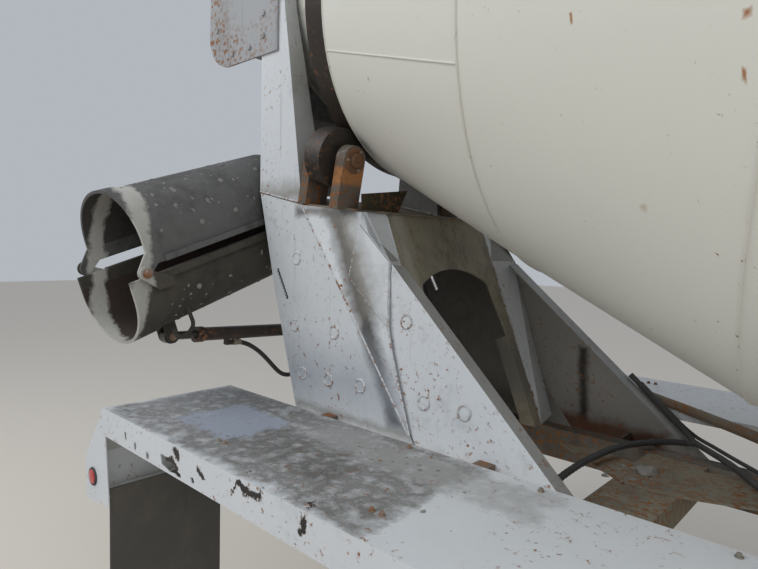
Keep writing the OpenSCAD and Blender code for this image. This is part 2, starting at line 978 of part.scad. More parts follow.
module hydraulic_motor() {
    color(dark)
        on_axis(stand_s + stand_t + case_l + case_end_l) {
            cylinder(h = 150, r = 85);
            translate([0, 0, 150])
                cylinder(h = 50, r = 60);
            translate([-70, -110, 40])
                cube([140, 220, 60]);
        }
}

// Hoses and a bent pipe that lie on the left gusset's slope and over the frame
joint_p = [735, 488, 176];
conduit = [joint_p, [640, 440, 172], [557, 329, 172], [511, 174, 176], [481, -2, 170],
    [466, -180, 156], [462, rail_w - rail_y, 132]];
hose_b = [[430, 546, 412], [537, 546, 320], [602, 545, 264], [665, 540, 212], [705, 520, 182],
    joint_p, [881, 366, 162], [1005, 200, 158], [1160, 60, 152], [1340, -20, cross_top + 13]];
hose_c = [[470, 572, 378], [600, 572, 263], [700, 566, 190], [790, 524, 168], [940, 390, 160],
    [1080, 280, 156], [1345, 205, cross_top + 14.2]];
pipe_r = 21;
pipe = [[380, 775, fender_z + pipe_r], [405, 758, fender_z + pipe_r], [700, 548, 293],
    [963, 361, 290], [1140, 236, 276], [1260, 170, 220], [1330, 140, cross_top + 2]];

module frame_hoses() {
    color(dark) {
        hose(hose_b, 13, 4);
        difference() {
            hose(conduit, 11, 5);
            hose(hose_b, 13, 4);
            subframe_rail_right();
        }
        hose(hose_c, 8, 5);
    }
}

module frame_pipe() {
    color(grey)
        difference() {
            hose(pipe, pipe_r, 5);
            box(1250, 1400, 80, 200, 0, cross_top);
        }
}

// Drum
module drum_neck() {
    color(white) {
        turned([[mouth_r, neck_s0], [neck_r1, neck_s1], [neck_r2, track_s0],
            [neck_r2, track_s1]], shell_t);
        on_axis(neck_s0 - 6)
            difference() {
                cylinder(h = 12, r = mouth_r + 14, $fn = 120);
                translate([0, 0, -1])
                    cylinder(h = 14, r = mouth_r - 5, $fn = 120);
            }
    }
}

module track_ring() {
    color(dark)
        on_axis(0)
            rotate_extrude($fn = 120)
                polygon([[neck_r2, track_s0 + 44], [track_r - 40, track_s0 + 44],
                    [track_r - 40, track_s0], [track_r, track_s0], [track_r, track_s1],
                    [cone_r0, track_s1], [cone_r0, 0], [neck_r2 - shell_t, 0],
                    [neck_r2 - shell_t, track_s1], [track_r - 40, track_s1],
                    [track_r - 40, track_s0 + 64], [neck_r2, track_s0 + 64]]);
}

module rear_cone_small() {
    color(white)
        turned([[cone_r0, 0], [cone_r1, cone_s1]], shell_t);
}

module rear_cone_large() {
    color(white)
        turned([[cone_r1, cone_s1], [cone_r1 + 3, cone_s1 + 4], [cone_r1 + 2, cone_s1 + 8],
            [drum_r, cone_s2]], shell_t);
}

module drum_belly() {
    color(white)
        turned([[drum_r, cone_s2], [drum_r, belly_s1]], shell_t);
}

module front_cone() {
    color(white)
        turned([[drum_r, belly_s1], [front_r2, front_s2]], shell_t);
}

module drum_head() {
    color(white)
        on_axis(0)
            rotate_extrude($fn = 120)
                polygon([[front_r2, front_s2], [front_r2 - 60, front_s2 + 50],
                    [300, head_s], [300, hub_s], [hub_r, hub_s], [hub_r, hub_s + hub_l],
                    [0, hub_s + hub_l], [0, hub_s - 12], [290, hub_s - 12], [290, head_s - 8],
                    [front_r2 - 65, front_s2 + 44], [front_r2 - shell_t, front_s2]]);
}

// Chute, local X outward along the chute and local Z up
module swing_frame() {
    translate([swing_x, 0, 0])
        rotate([0, 0, 180 + swing_stow])
            children();
}

module chute_frame() {
    swing_frame()
        translate([0, 0, pivot_z])
            rotate([0, chute_slope, 0])
                children();
}

head_r = 30;
chute_pin_r = 20;
head_w = 200;
collar_z = low_z[1] + 1;
base_pin_r = 14;

module swing_post() {
    color(dark)
        swing_frame() {
            translate([0, 0, low_z[0] - 20])
                cylinder(h = pivot_z - low_z[0] + 20, r = post_r);
            translate([0, 0, collar_z])
                cylinder(h = 25, r = eye_r - 5);
            translate([0, head_w / 2, pivot_z])
                rotate([90, 0, 0])
                    cylinder(h = head_w, r = head_r);
            translate([0, head_w / 2 + 30, pivot_z])
                rotate([90, 0, 0])
                    cylinder(h = head_w + 60, r = chute_pin_r);
            translate([0, 0, base_pin[1] - 40])
                cylinder(h = 72, r = base_collar_r);
            for (m = [0, 1])
                mirror([0, m, 0])
                    base_lug();
            translate([base_pin[0], swivel_y[1] + 4, base_pin[1]])
                rotate([90, 0, 0])
                    cylinder(h = 38 + swivel_y[1] + 4, r = base_pin_r);
        }
}

base_collar_r = 55;

module base_lug() {
    translate([base_pin[0], 38, base_pin[1]])
        rotate([90, 0, 0])
            cylinder(h = 12, r = 32);
    box(0, base_pin[0], 26, 38, base_pin[1] - 32, base_pin[1] + 32);
}

// Open trough along X: outer radius, wall, centre height, straight side, start and end
module trough(r, t, c, side, x0, x1) {
    difference() {
        union() {
            translate([x0, 0, c])
                rotate([0, 90, 0])
                    cylinder(h = x1 - x0, r = r);
            box(x0, x1, -r, r, c, c + side);
        }
        translate([x0 - 1, 0, c])
            rotate([0, 90, 0])
                cylinder(h = x1 - x0 + 2, r = r - t);
        box(x0 - 1, x1 + 1, -r + t, r - t, c, c + side + 1);
        box(x0 - 1, x1 + 1, -r - 1, r + 1, c + side, c + r + 1);
    }
}

bar_w = 25;
bar_h = 30;
main_x1 = hinge_x + main_over;
rim_z = trough_c + trough_side;
pin2_r = 12;
pin_clear = 0.5;
lug2_y = 236;
lug2_t = 10;

module main_chute() {
    color(grey)
        chute_frame() {
            trough(trough_r, trough_t, trough_c, trough_side, main_back, main_x1);
            trough(trough_r + collar_t, collar_t, trough_c, trough_side, main_x1 - 130, main_x1);
            end_wall();
            for (m = [0, 1])
                mirror([0, m, 0]) {
                    box(main_back, main_x1 - 140, trough_r, trough_r + bar_w, rim_z - bar_h, rim_z);
                    // Ear for the fold-over's hinge
                    difference() {
                        union() {
                            translate([hinge_x, lug2_y + lug2_t, hinge_z])
                                rotate([90, 0, 0])
                                    cylinder(h = lug2_t, r = 30);
                            plate_xz([[hinge_x - 30, hinge_z], [hinge_x + 28, hinge_z - 10],
                                [hinge_x - 35, rim_z - 60], [hinge_x - 110, rim_z - 60],
                                [hinge_x - 110, rim_z - 25]], lug2_y, lug2_t);
                        }
                        translate([hinge_x, lug2_y + lug2_t + 1, hinge_z])
                            rotate([90, 0, 0])
                                cylinder(h = lug2_t + 2, r = pin2_r + pin_clear);
                    }
                    box(hinge_x - 110, hinge_x - 40, trough_r - 1, lug2_y, rim_z - 60, rim_z - 25);
                    // Lug on the swing post's head
                    difference() {
                        union() {
                            translate([0, head_w / 2 + 15, 0])
                                rotate([90, 0, 0])
                                    cylinder(h = 12, r = 38);
                            box(-38, 38, head_w / 2 + 3, head_w / 2 + 15, 0, trough_z + 40);
                        }
                        translate([0, head_w / 2 + 16, 0])
                            rotate([90, 0, 0])
                                cylinder(h = 14, r = chute_pin_r + pin_clear);
                        trough_cut();
                    }
                    // Lug for the rod's eye
                    difference() {
                        union() {
                            translate([eye[0], 36, eye[1]])
                                rotate([90, 0, 0])
                                    cylinder(h = 10, r = 30);
                            box(eye[0] - 30, eye[0] + 30, 26, 36, eye[1], trough_z + 15);
                        }
                        trough_cut();
                    }
                }
            translate([eye[0], 36, eye[1]])
                rotate([90, 0, 0])
                    cylinder(h = 72, r = pin2_r);
            // Bent rod welded under the trough
            difference() {
                hose(hook, 9, 4);
                trough_cut();
            }
        }
}

hook = [[930, 150, 142], [929, 150, 93], [926, 150, 55], [934, 150, 32], [960, 150, 16],
    [997, 150, 13], [1019, 150, 28], [1027, 150, 62]];

module trough_cut() {
    translate([-500, 0, trough_c])
        rotate([0, 90, 0])
            cylinder(h = 2500, r = trough_r - 1);
}

module end_wall() {
    intersection() {
        union() {
            translate([main_back, 0, trough_c])
                rotate([0, 90, 0])
                    cylinder(h = trough_t, r = trough_r - 1);
            box(main_back, main_back + trough_t, -trough_r + 1, trough_r - 1, trough_c, rim_z);
        }
        box(main_back, main_back + trough_t, -trough_r, trough_r, 0, rim_z);
    }
}

band_w = 70;
band_t = 8;

module fold_chute() {
    color(grey)
        chute_frame()
            translate([hinge_x, 0, hinge_z])
                rotate([180, 0, 0])
                    translate([-fold_in - fold_l, 0, 0]) {
                        trough(fold_r, trough_t, -fold_c, fold_c - fold_rim, 0, fold_l);
                        trough(fold_r + band_t, band_t, -fold_c, fold_c - fold_rim,
                            fold_l - band_w, fold_l);
                        for (m = [0, 1])
                            mirror([0, m, 0]) {
                                box(0, fold_l - band_w, fold_r, fold_r + 20, -fold_rim - 25,
                                    -fold_rim);
                                translate([fold_l + fold_in, fold_r + 10, 0])
                                    rotate([90, 0, 0])
                                        cylinder(h = 10, r = 28);
                                plate_xz([[fold_l + fold_in + 20, -20],
                                    [fold_l + fold_in - 10, 26],
                                    [fold_l - 50, -fold_rim - 10],
                                    [fold_l - 50, -fold_rim - 60],
                                    [fold_l, -fold_rim - 60]], fold_r, 10);
                                translate([fold_l + fold_in, lug2_y + lug2_t + 12, 0])
                                    rotate([90, 0, 0])
                                        cylinder(h = lug2_y + lug2_t + 12 - fold_r, r = pin2_r);
                            }
                    }
}

// Lift cylinder, local X along it from the base pin
module lift_frame() {
    swing_frame()
        translate([base_pin[0], 0, base_pin[1]])
            rotate([0, -lift_a, 0])
                children();
}

gland_x = lift_len - 32 - rod_show;
rod_l = 600;
port_x = 485;
port_r = 14;
elbow_l = 40;
hose_r = 12;

// Swivel round the base pin's end that feeds the hose, and its stub that points down
swivel_y = [44, 68];
swivel_r = 20;
stub_l = 50;
stub_r = 13;

module swivel() {
    swing_frame()
        translate([base_pin[0], 0, base_pin[1]])
            difference() {
                union() {
                    translate([0, swivel_y[1], 0])
                        rotate([90, 0, 0])
                            cylinder(h = swivel_y[1] - swivel_y[0], r = swivel_r);
                    translate([0, (swivel_y[0] + swivel_y[1]) / 2, -stub_l])
                        cylinder(h = stub_l - 15, r = stub_r);
                }
                translate([0, swivel_y[1] + 1, 0])
                    rotate([90, 0, 0])
                        cylinder(h = swivel_y[1] - swivel_y[0] + 2, r = base_pin_r + pin_clear);
            }
}

// Free hose in the swing post's frame, from the elbow under the barrel to the swivel's stub
lift_route = [[546.5, 0, 468.2], [520, 0, 466], [490, 0, 460], [445, 2, 443], [396, 8, 413],
    [355, 16, 378], [323, 24, 344], [290, 32, 307], [262, 39, 278], [234, 46, 258],
    [198, 52, 248], [164, 55, 253], [133, 56, 272], [113, 56, 303], [104.5, 56, 345],
    [102.5, 56, 385], [100.5, 56, 415], [100, 56, base_pin[1] - stub_l - 0.3]];

module lift_hose() {
    color(dark)
        swing_frame()
            hose(lift_route, hose_r, 4);
}

module lift_barrel() {
    color(dark)
        swivel();
    color(dark)
        lift_frame()
            difference() {
                union() {
                    translate([0, 20, 0])
                        rotate([90, 0, 0])
                            cylinder(h = 40, r = 32);
                    box(0, 45, -20, 20, -25, 25);
                    translate([40, 0, 0])
                        rotate([0, 90, 0])
                            cylinder(h = gland_x - 40, r = barrel_r);
                    translate([gland_x - 40, 0, 0])
                        rotate([0, 90, 0])
                            cylinder(h = 40, r = barrel_r + 5);
                    // Port with an elbow that points back along the barrel
                    translate([port_x, 0, -barrel_r - 26])
                        cylinder(h = 32, r = port_r);
                    translate([port_x - elbow_l, 0, -barrel_r - 16])
                        rotate([0, 90, 0])
                            cylinder(h = elbow_l, r = port_r);
                }
                translate([0, 21, 0])
                    rotate([90, 0, 0])
                        cylinder(h = 42, r = base_pin_r + pin_clear);
                translate([60, 0, 0])
                    rotate([0, 90, 0])
                        cylinder(h = gland_x - 60 + 1, r = rod_r + 1);
            }
}

module lift_rod() {
    color(grey)
        lift_frame()
            difference() {
                union() {
                    translate([lift_len - rod_l, 0, 0])
                        rotate([0, 90, 0])
                            cylinder(h = rod_l - 20, r = rod_r);
                    translate([lift_len, 20, 0])
                        rotate([90, 0, 0])
                            cylinder(h = 40, r = 34);
                }
                translate([lift_len, 21, 0])
                    rotate([90, 0, 0])
                        cylinder(h = 42, r = 22);
            }
}

subframe_rail_right();
subframe_rail_left();
crossmembers();
outriggers();
pedestal_side_right();
pedestal_side_left();
pedestal_gusset_right();
pedestal_gusset_left();
pedestal_web();
pedestal_rear_wall();
pedestal_cap();
column_right();
column_left();
hopper_plate_right();
hopper_plate_left();
charge_hopper();
collector();
roller_bracket_right();
roller_bracket_left();
fender_right();
fender_left();
fender_arms();
side_lamps();
mud_flaps();
swing_bearing();
front_pedestal();
drive_gearbox();
hydraulic_motor();
frame_hoses();
frame_pipe();
drum_neck();
track_ring();
rear_cone_small();
rear_cone_large();
drum_belly();
front_cone();
drum_head();
roller_right();
roller_left();
swing_post();
main_chute();
fold_chute();
lift_barrel();
lift_rod();
lift_hose();
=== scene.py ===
import json
import math
import random
import bpy
import bmesh
from bpy.props import FloatProperty, FloatVectorProperty, IntProperty, PointerProperty
from mathutils import Matrix, Vector


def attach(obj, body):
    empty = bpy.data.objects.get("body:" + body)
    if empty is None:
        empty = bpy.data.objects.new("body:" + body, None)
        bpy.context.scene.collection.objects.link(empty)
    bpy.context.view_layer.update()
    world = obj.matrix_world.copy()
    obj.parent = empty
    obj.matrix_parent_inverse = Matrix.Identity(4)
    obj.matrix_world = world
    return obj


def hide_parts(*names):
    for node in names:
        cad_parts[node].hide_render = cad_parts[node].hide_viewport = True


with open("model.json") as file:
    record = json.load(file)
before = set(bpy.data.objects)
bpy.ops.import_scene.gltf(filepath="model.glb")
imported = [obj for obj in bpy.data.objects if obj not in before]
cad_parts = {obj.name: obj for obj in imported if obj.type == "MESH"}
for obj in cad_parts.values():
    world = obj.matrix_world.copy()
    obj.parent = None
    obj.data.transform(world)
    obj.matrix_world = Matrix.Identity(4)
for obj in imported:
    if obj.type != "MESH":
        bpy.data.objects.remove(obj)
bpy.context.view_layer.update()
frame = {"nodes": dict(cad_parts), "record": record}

bl_info = {
    "name": "Concrete mixer body",
    "version": (1, 0, 0),
    "blender": (4, 5, 0),
    "location": "View3D > Sidebar > Mixer",
    "description": "Finishes the mixer body's solids and adds its small pieces",
    "category": "Add Mesh",
}

# Picture width and the camera's focal length, in pixels
FRAME_W = 758
FOCAL = 574
CAMERA_PLACE = (1.354, -2.176, 0.969)
CAMERA_RIGHT = (0.732, 0.681, 0.025)
CAMERA_UP = (-0.062, 0.030, 0.998)
FLOOR_Z = -1.08
LIGHT_SIZE = 5
LIGHT_AIM = Vector((0, 0, 0.8))

JOINTS = {j["name"]: j for j in frame["record"]["behaviour"]["joints"]}
SIDES = (1, -1)


def axes(origin, x, y):
    """Matrix of a frame from its origin and its X and Y directions."""
    x = Vector(x).normalized()
    z = x.cross(Vector(y)).normalized()
    m = Matrix((x, z.cross(x), z)).transposed().to_4x4()
    m.translation = Vector(origin)
    return m


def joint_at(name):
    return Vector(JOINTS[name]["pos_m"])


# Drum: Z along its axis to the front, X down
DRUM_AXIS = Vector(JOINTS["drum_spin"]["axis"])
DRUM = axes(joint_at("drum_spin"), Vector((0, 1, 0)).cross(DRUM_AXIS), (0, 1, 0))

# Swing post: X outward along the chute, Z up. Chute: the same, turned down by its slope
SWING_Y = -Vector(JOINTS["chute_lift"]["axis"])
SWING_X = SWING_Y.cross(Vector((0, 0, 1)))
CHUTE_SLOPE = math.radians(18)
PIVOT = joint_at("chute_lift")
SWING = axes((PIVOT.x, PIVOT.y, 0), SWING_X, SWING_Y)
CHUTE = axes(PIVOT, SWING_X, SWING_Y) @ Matrix.Rotation(CHUTE_SLOPE, 4, "Y")

# Drum stations along the axis and radii there
CONE_R0 = 0.755
CONE_S1, CONE_R1 = 0.804, 1.003
CONE_S2, DRUM_R = 1.571, 1.22
BELLY_S1 = 3.2
FRONT_S2, FRONT_R2 = 4.1, 0.76
NECK_S0 = -0.55
NECK_S1, NECK_R1 = -0.4, 0.5
TRACK_S0, TRACK_S1 = -0.12, -0.012
NECK_R2 = 0.66
FIN_R = 0.452
FIN_PITCH, FIN_TURN, FIN_T = 0.5, math.radians(330), 0.006

# Front stand: its station, plate and base; the gearbox on it
STAND_S, STAND_T = 4.346, 0.025
STAND_X = DRUM.translation.x + STAND_S * DRUM_AXIS.x
CASE_R, CASE_L, CASE_END_L = 0.2, 0.19, 0.08

# Rollers' brackets: middle of a lug past the track's edge, and its cap's bolts
LUG_OUT, CAP_BOLT_R = 0.072, 0.043

# Pedestal, right side as X, Z where nothing else is said
SIDE_Y = 0.56
CAP_Z = 1.155
REAR_TOP = (-0.923, 1.219)
CREASE_TOP = (-0.618, CAP_Z)
CREASE_FOOT = (0.223, 0.0)
CREASE_LOW = 0.276
PANEL_TIP = (-0.095, 0.569)
COLUMN_Y = 0.421
GUSSET_Y = 0.575
GUSSET_A = math.radians(5.7)
GUSSET_TOP = (-0.158, 0.915)
WEB_X0 = 0.152
WEB_A = math.radians(22.1)
WEB_Y = 0.36
MARK_R, MARK_H, MARK_STEPS = 0.025, 0.002, 28
SIDE_MARKS = ((-0.391, 0.612), (-0.651, 0.614), (-0.644, 0.914), (-0.422, 0.407),
              (-0.592, 0.408), (-0.233, 0.416))
GUSSET_MARKS = ((0.071, 0.407), (0.25, 0.407), (-0.046, 0.692))
DOUBLER = ((-0.317, 1.062), (-0.325, 0.849), (-0.267, 0.789), (-0.128, 0.666), (-0.161, 0.915))
RAIL_H = 0.14
BASE_Z = RAIL_H + 0.016

# Fenders
FENDER_Z = 0.27
FENDER_Y0, FENDER_Y1 = 0.61, 1.22
FENDER_X1 = 1.55
LAMP = (-1.196, -0.053)
LAMP_R = 0.032
FLAP_X, FLAP_Z = -1.178, -0.135
# Rusted-through spots of the right skirt: X, Z and half length
SKIRT_RUST = ((-0.47, 0.239, 0.02), (-0.32, 0.229, 0.022), (-0.04, 0.237, 0.075),
              (0.2, 0.246, 0.02), (-0.87, 0.195, 0.008), (-0.5, 0.19, 0.05))

# Chutes, in the chute's frame
TROUGH_R, TROUGH_C = 0.2, 0.2515
MAIN_X0, MAIN_X1 = -0.17, 1.185
HINGE_X, HINGE_Z = 1.125, 0.354
FOLD_R, FOLD_L = 0.22, 0.88
FOLD_C = HINGE_Z + 0.106

# Lift hose in the swing's frame, and the conduit
SWING_HOSE = ((0.5465, 0, 0.4682), (0.520, 0, 0.466), (0.490, 0, 0.460), (0.445, 0.002, 0.443),
              (0.396, 0.008, 0.413), (0.355, 0.016, 0.378), (0.323, 0.024, 0.344),
              (0.290, 0.032, 0.307), (0.262, 0.039, 0.278), (0.234, 0.046, 0.258),
              (0.198, 0.052, 0.248), (0.164, 0.055, 0.253), (0.133, 0.056, 0.272),
              (0.113, 0.056, 0.303), (0.1045, 0.056, 0.345), (0.1025, 0.056, 0.385),
              (0.1005, 0.056, 0.415), (0.100, 0.056, 0.4397))
CONDUIT = ((0.735, 0.488, 0.176), (0.640, 0.440, 0.172), (0.557, 0.329, 0.172),
           (0.511, 0.174, 0.176), (0.481, -0.002, 0.170), (0.466, -0.180, 0.156),
           (0.462, -0.350, 0.132))


# Sizes and colours that a user would change

def length(name, text, default, low, high):
    return FloatProperty(name=name, description=text, default=default, min=low, max=high,
                         subtype="DISTANCE", unit="LENGTH")


def colour(name, text, default):
    return FloatVectorProperty(name=name, description=text, default=default, size=3, min=0,
                               max=1, subtype="COLOR")


class MixerSizes(bpy.types.PropertyGroup):
    bead_r: length("Weld bead", "Radius of the weld beads", 0.0042, 0.001, 0.01)
    bolt_r: length("Bolt", "Half width of the bolt heads", 0.015, 0.005, 0.04)
    hose_r: length("Lift hose", "Radius of the lift cylinder's hose", 0.012, 0.006, 0.02)
    crust_r: length("Crust", "Largest lump of set concrete", 0.014, 0.004, 0.04)
    crust_count: IntProperty(name="Crust count", description="Lumps on each chute",
                             default=150, min=0, max=600)
    fin_h: length("Fin", "Height of the mixing fins in the neck", 0.152, 0.05, 0.3)


class MixerColours(bpy.types.PropertyGroup):
    white: colour("White paint", "Paint of the pedestal and fenders", (0.66, 0.685, 0.70))
    drum: colour("Drum paint", "Paint of the drum", (0.74, 0.73, 0.655))
    beige: colour("Beige film", "Cement film on the web and the frame", (0.27, 0.235, 0.16))
    concrete: colour("Concrete", "Set concrete", (0.17, 0.162, 0.148))
    grime: colour("Grime", "Dark oily dirt", (0.032, 0.030, 0.027))
    rust: colour("Rust", "Dark rust", (0.115, 0.045, 0.018))
    bloom: colour("Rust bloom", "Bright rust", (0.36, 0.16, 0.055))
    steel: colour("Dark steel", "Greasy steel of the track", (0.03, 0.024, 0.019))
    rubber: colour("Rubber", "Hoses and flaps", (0.022, 0.022, 0.023))
    lens: colour("Lens", "Red side lamp", (0.55, 0.012, 0.018))


def sizes():
    return bpy.context.scene.mixer_sizes


def tint(shade):
    """Colour with its alpha, of a colour property's name or of red, green and blue."""
    if isinstance(shade, str):
        shade = getattr(bpy.context.scene.mixer_colours, shade)
    return (*shade, 1)


# Shader nodes

def add(tree, kind, values=None, **settings):
    """New node; values are numbers or sockets for its inputs, by name or number."""
    node = tree.nodes.new(kind)
    for key, value in settings.items():
        setattr(node, key, value)
    for key, value in (values or {}).items():
        if isinstance(value, bpy.types.NodeSocket):
            tree.links.new(value, node.inputs[key])
        else:
            node.inputs[key].default_value = value
    return node


def maths(tree, operation, a, b=0.0, c=0.0, clamp=False):
    return add(tree, "ShaderNodeMath", {0: a, 1: b, 2: c}, operation=operation,
               use_clamp=clamp).outputs[0]


def vectors(tree, operation, a, b=(0, 0, 0), scale=1.0):
    return add(tree, "ShaderNodeVectorMath", {0: a, 1: b, 3: scale},
               operation=operation).outputs


def times(tree, a, b, clamp=False):
    return maths(tree, "MULTIPLY", a, b, clamp=clamp)


def mixed(tree, factor, a, b):
    return add(tree, "ShaderNodeMix", {0: factor, 6: a, 7: b}, data_type="RGBA").outputs[2]


def noise(tree, vector, scale, detail=5.0, rough=0.6):
    return add(tree, "ShaderNodeTexNoise", {"Vector": vector, "Scale": scale,
                                            "Detail": detail, "Roughness": rough}).outputs


def over(tree, value, amount, gain):
    """Mask of what in a noise lies over 1 - amount."""
    more = maths(tree, "ADD", value, amount)
    return maths(tree, "MULTIPLY_ADD", more, gain, -gain, clamp=True)


def new_group(name, vector_inputs, number_inputs, number_outputs):
    """Node group with its named sockets."""
    group = bpy.data.node_groups.new(name, "ShaderNodeTree")
    for way, kind, labels in (("INPUT", "Vector", vector_inputs),
                              ("INPUT", "Float", number_inputs),
                              ("OUTPUT", "Float", number_outputs)):
        for label in labels:
            group.interface.new_socket(label, in_out=way, socket_type="NodeSocket" + kind)
    return group, add(group, "NodeGroupInput").outputs, add(group, "NodeGroupOutput")


def weather_group():
    """Grime, streaks that run down, rust specks and grain over a surface."""
    group, given, out = new_group("weather", ("Vector",), ("Grime", "Streak", "Rust"),
                                  ("Grime", "Streak", "Rust", "Grain", "Shade"))
    where = given["Vector"]
    broad = noise(group, where, 2.3, 8, 0.68)[0]
    close = noise(group, where, 17, 5, 0.62)[0]
    both = maths(group, "MULTIPLY_ADD", close, 0.4, times(group, broad, 0.6))
    grime = over(group, both, given["Grime"], 4.5)
    wide = vectors(group, "MULTIPLY", where, (13, 13, 0.9))[0]
    thin = vectors(group, "MULTIPLY", where, (55, 55, 2.2))[0]
    runs = maths(group, "MULTIPLY_ADD", noise(group, thin, 1, 3)[0], 0.45,
                 times(group, noise(group, wide, 1, 4)[0], 0.55))
    streak = over(group, runs, given["Streak"], 5)
    clusters = over(group, noise(group, where, 3.1, 3)[0], 0.62, 5)
    specks = over(group, noise(group, where, 46, 4, 0.7)[0], given["Rust"], 13)
    rust = times(group, specks, clusters)
    grain = noise(group, where, 210, 4, 0.7)[0]
    for label, value in (("Grime", grime), ("Streak", streak), ("Rust", rust),
                         ("Grain", grain), ("Shade", broad)):
        group.links.new(value, out.inputs[label])
    return group


def patch_group():
    """Mask of a ragged box that may lean as it rises."""
    group, given, out = new_group("patch", ("Vector", "Centre", "Half", "Lean"),
                                  ("Soft", "Ragged"), ("Mask",))
    where = given["Vector"]
    fray = vectors(group, "SUBTRACT", noise(group, where, 11, 6, 0.65)[1], (0.5, 0.5, 0.5))[0]
    fray = vectors(group, "SCALE", fray, scale=given["Ragged"])[0]
    off = vectors(group, "SUBTRACT", where, given["Centre"])[0]
    rise = add(group, "ShaderNodeSeparateXYZ", {0: off}).outputs[2]
    slide = vectors(group, "SCALE", given["Lean"], scale=rise)[0]
    off = vectors(group, "ADD", vectors(group, "SUBTRACT", off, slide)[0], fray)[0]
    left = vectors(group, "SUBTRACT", given["Half"], vectors(group, "ABSOLUTE", off)[0])[0]
    parts = add(group, "ShaderNodeSeparateXYZ", {0: left}).outputs
    least = maths(group, "MINIMUM", maths(group, "MINIMUM", parts[0], parts[1]), parts[2])
    mask = maths(group, "DIVIDE", least, given["Soft"], clamp=True)
    group.links.new(mask, out.inputs["Mask"])
    return group


def core_group():
    """Mask of what lies within a radius of an axis, such as the inside of a trough."""
    group, given, out = new_group("core", ("Vector", "Centre", "Axis"), ("Radius",), ("Mask",))
    off = vectors(group, "SUBTRACT", given["Vector"], given["Centre"])[0]
    cross = vectors(group, "CROSS_PRODUCT", off, given["Axis"])[0]
    reach = vectors(group, "LENGTH", cross)[1]
    left = maths(group, "SUBTRACT", given["Radius"], reach)
    mask = maths(group, "DIVIDE", left, 0.001, clamp=True)
    group.links.new(mask, out.inputs["Mask"])
    return group


# Second shade of a surface that names none, and depth of its bump, in metres
FADED = 0.82
BUMP_DEPTH = 0.004

GROUPS = {"weather": weather_group, "patch": patch_group, "core": core_group}


def effect(tree, name, values):
    """A placed copy of one of the shared effects, with its outputs."""
    group = bpy.data.node_groups.get(name) or GROUPS[name]()
    return add(tree, "ShaderNodeGroup", values, node_tree=group).outputs


def facing(tree, normal, direction):
    """Mask of the faces that look in a direction."""
    agree = vectors(tree, "DOT_PRODUCT", normal, direction)[1]
    return maths(tree, "MULTIPLY_ADD", agree, 4.0, -2.0, clamp=True)


NO_LEAN = (0, 0, 0)


def patch(centre, half, shade, soft, ragged, strength, look=None, lean=NO_LEAN):
    """A stain, or a patch of painted shade: its shade, strength and effect, and the direction
    that its faces look in.
    """
    return shade, strength, look, {"Centre": centre, "Half": half, "Lean": lean, "Soft": soft,
                                   "Ragged": ragged}


def new_material(name):
    mat = bpy.data.materials.new(name)
    mat.use_nodes = True
    return mat, mat.node_tree, mat.node_tree.nodes["Principled BSDF"]


def weathered(name, base, second=None, grime=0.4, streak=0.38, rust=0.36, rough=0.5, bump=0.25,
              grime_shade="grime", grime_strength=0.55, streak_strength=0.5, lumps=0.0,
              metallic=0.0, coat=0.0, sides=(), cores=(), patches=()):
    """Painted, rusty or crusted surface; sides are directions with their shade and strength,
    cores are axes with the radius, shade and strength of what lies inside them."""
    mat, tree, shader = new_material(name)
    coords = add(tree, "ShaderNodeTexCoord").outputs
    where, normal = coords["Object"], coords["Normal"]
    seen = effect(tree, "weather", {"Vector": where, "Grime": grime, "Streak": streak,
                                    "Rust": rust})
    base = tint(base)
    second = tint(second or [FADED * c for c in base[:3]])
    shade = mixed(tree, seen["Shade"], base, second)
    for direction, side_shade, strength in sides:
        turned = facing(tree, normal, direction)
        worn = maths(tree, "MULTIPLY_ADD", seen["Shade"], 0.8, strength - 0.4)
        shade = mixed(tree, times(tree, turned, worn, clamp=True), shade, tint(side_shade))
    for centre, axis, radius, core_shade, strength in cores:
        mask = effect(tree, "core", {"Vector": where, "Centre": centre, "Axis": axis,
                                     "Radius": radius})[0]
        shade = mixed(tree, times(tree, mask, strength), shade, tint(core_shade))
    shade = mixed(tree, times(tree, seen["Grime"], grime_strength), shade, tint(grime_shade))
    shade = mixed(tree, times(tree, seen["Streak"], streak_strength), shade, tint("grime"))
    for patch_shade, strength, look, values in patches:
        mask = effect(tree, "patch", {"Vector": where, **values})[0]
        worn = maths(tree, "MULTIPLY_ADD", seen["Shade"], 0.7, strength - 0.35)
        mask = times(tree, mask, worn, clamp=True)
        if look:
            mask = times(tree, mask, facing(tree, normal, look))
        shade = mixed(tree, mask, shade, tint(patch_shade))
    rusty = mixed(tree, noise(tree, where, 90, 3)[0], tint("rust"), tint("bloom"))
    shade = mixed(tree, seen["Rust"], shade, rusty)
    dull = maths(tree, "MULTIPLY_ADD", seen["Rust"], 0.3, rough)
    dull = maths(tree, "MULTIPLY_ADD", seen["Grime"], 0.18, dull, clamp=True)
    height = maths(tree, "MULTIPLY_ADD", seen["Rust"], 0.8, times(tree, seen["Grain"], 0.5))
    if lumps:
        pits = noise(tree, where, 34, 6, 0.7)[0]
        height = maths(tree, "MULTIPLY_ADD", pits, lumps, height)
    relief = add(tree, "ShaderNodeBump", {"Height": height, "Strength": bump,
                                          "Distance": BUMP_DEPTH}).outputs[0]
    for label, socket in (("Base Color", shade), ("Roughness", dull), ("Normal", relief)):
        tree.links.new(socket, shader.inputs[label])
    shader.inputs["Metallic"].default_value = metallic
    shader.inputs["Coat Weight"].default_value = coat
    return mat


# Geometry helpers

SHARP = math.radians(35)
Z = Vector((0, 0, 1))
WELD_DIST = 0.0002


def placed(name, data):
    ob = bpy.data.objects.new(name, data)
    bpy.context.scene.collection.objects.link(ob)
    return ob


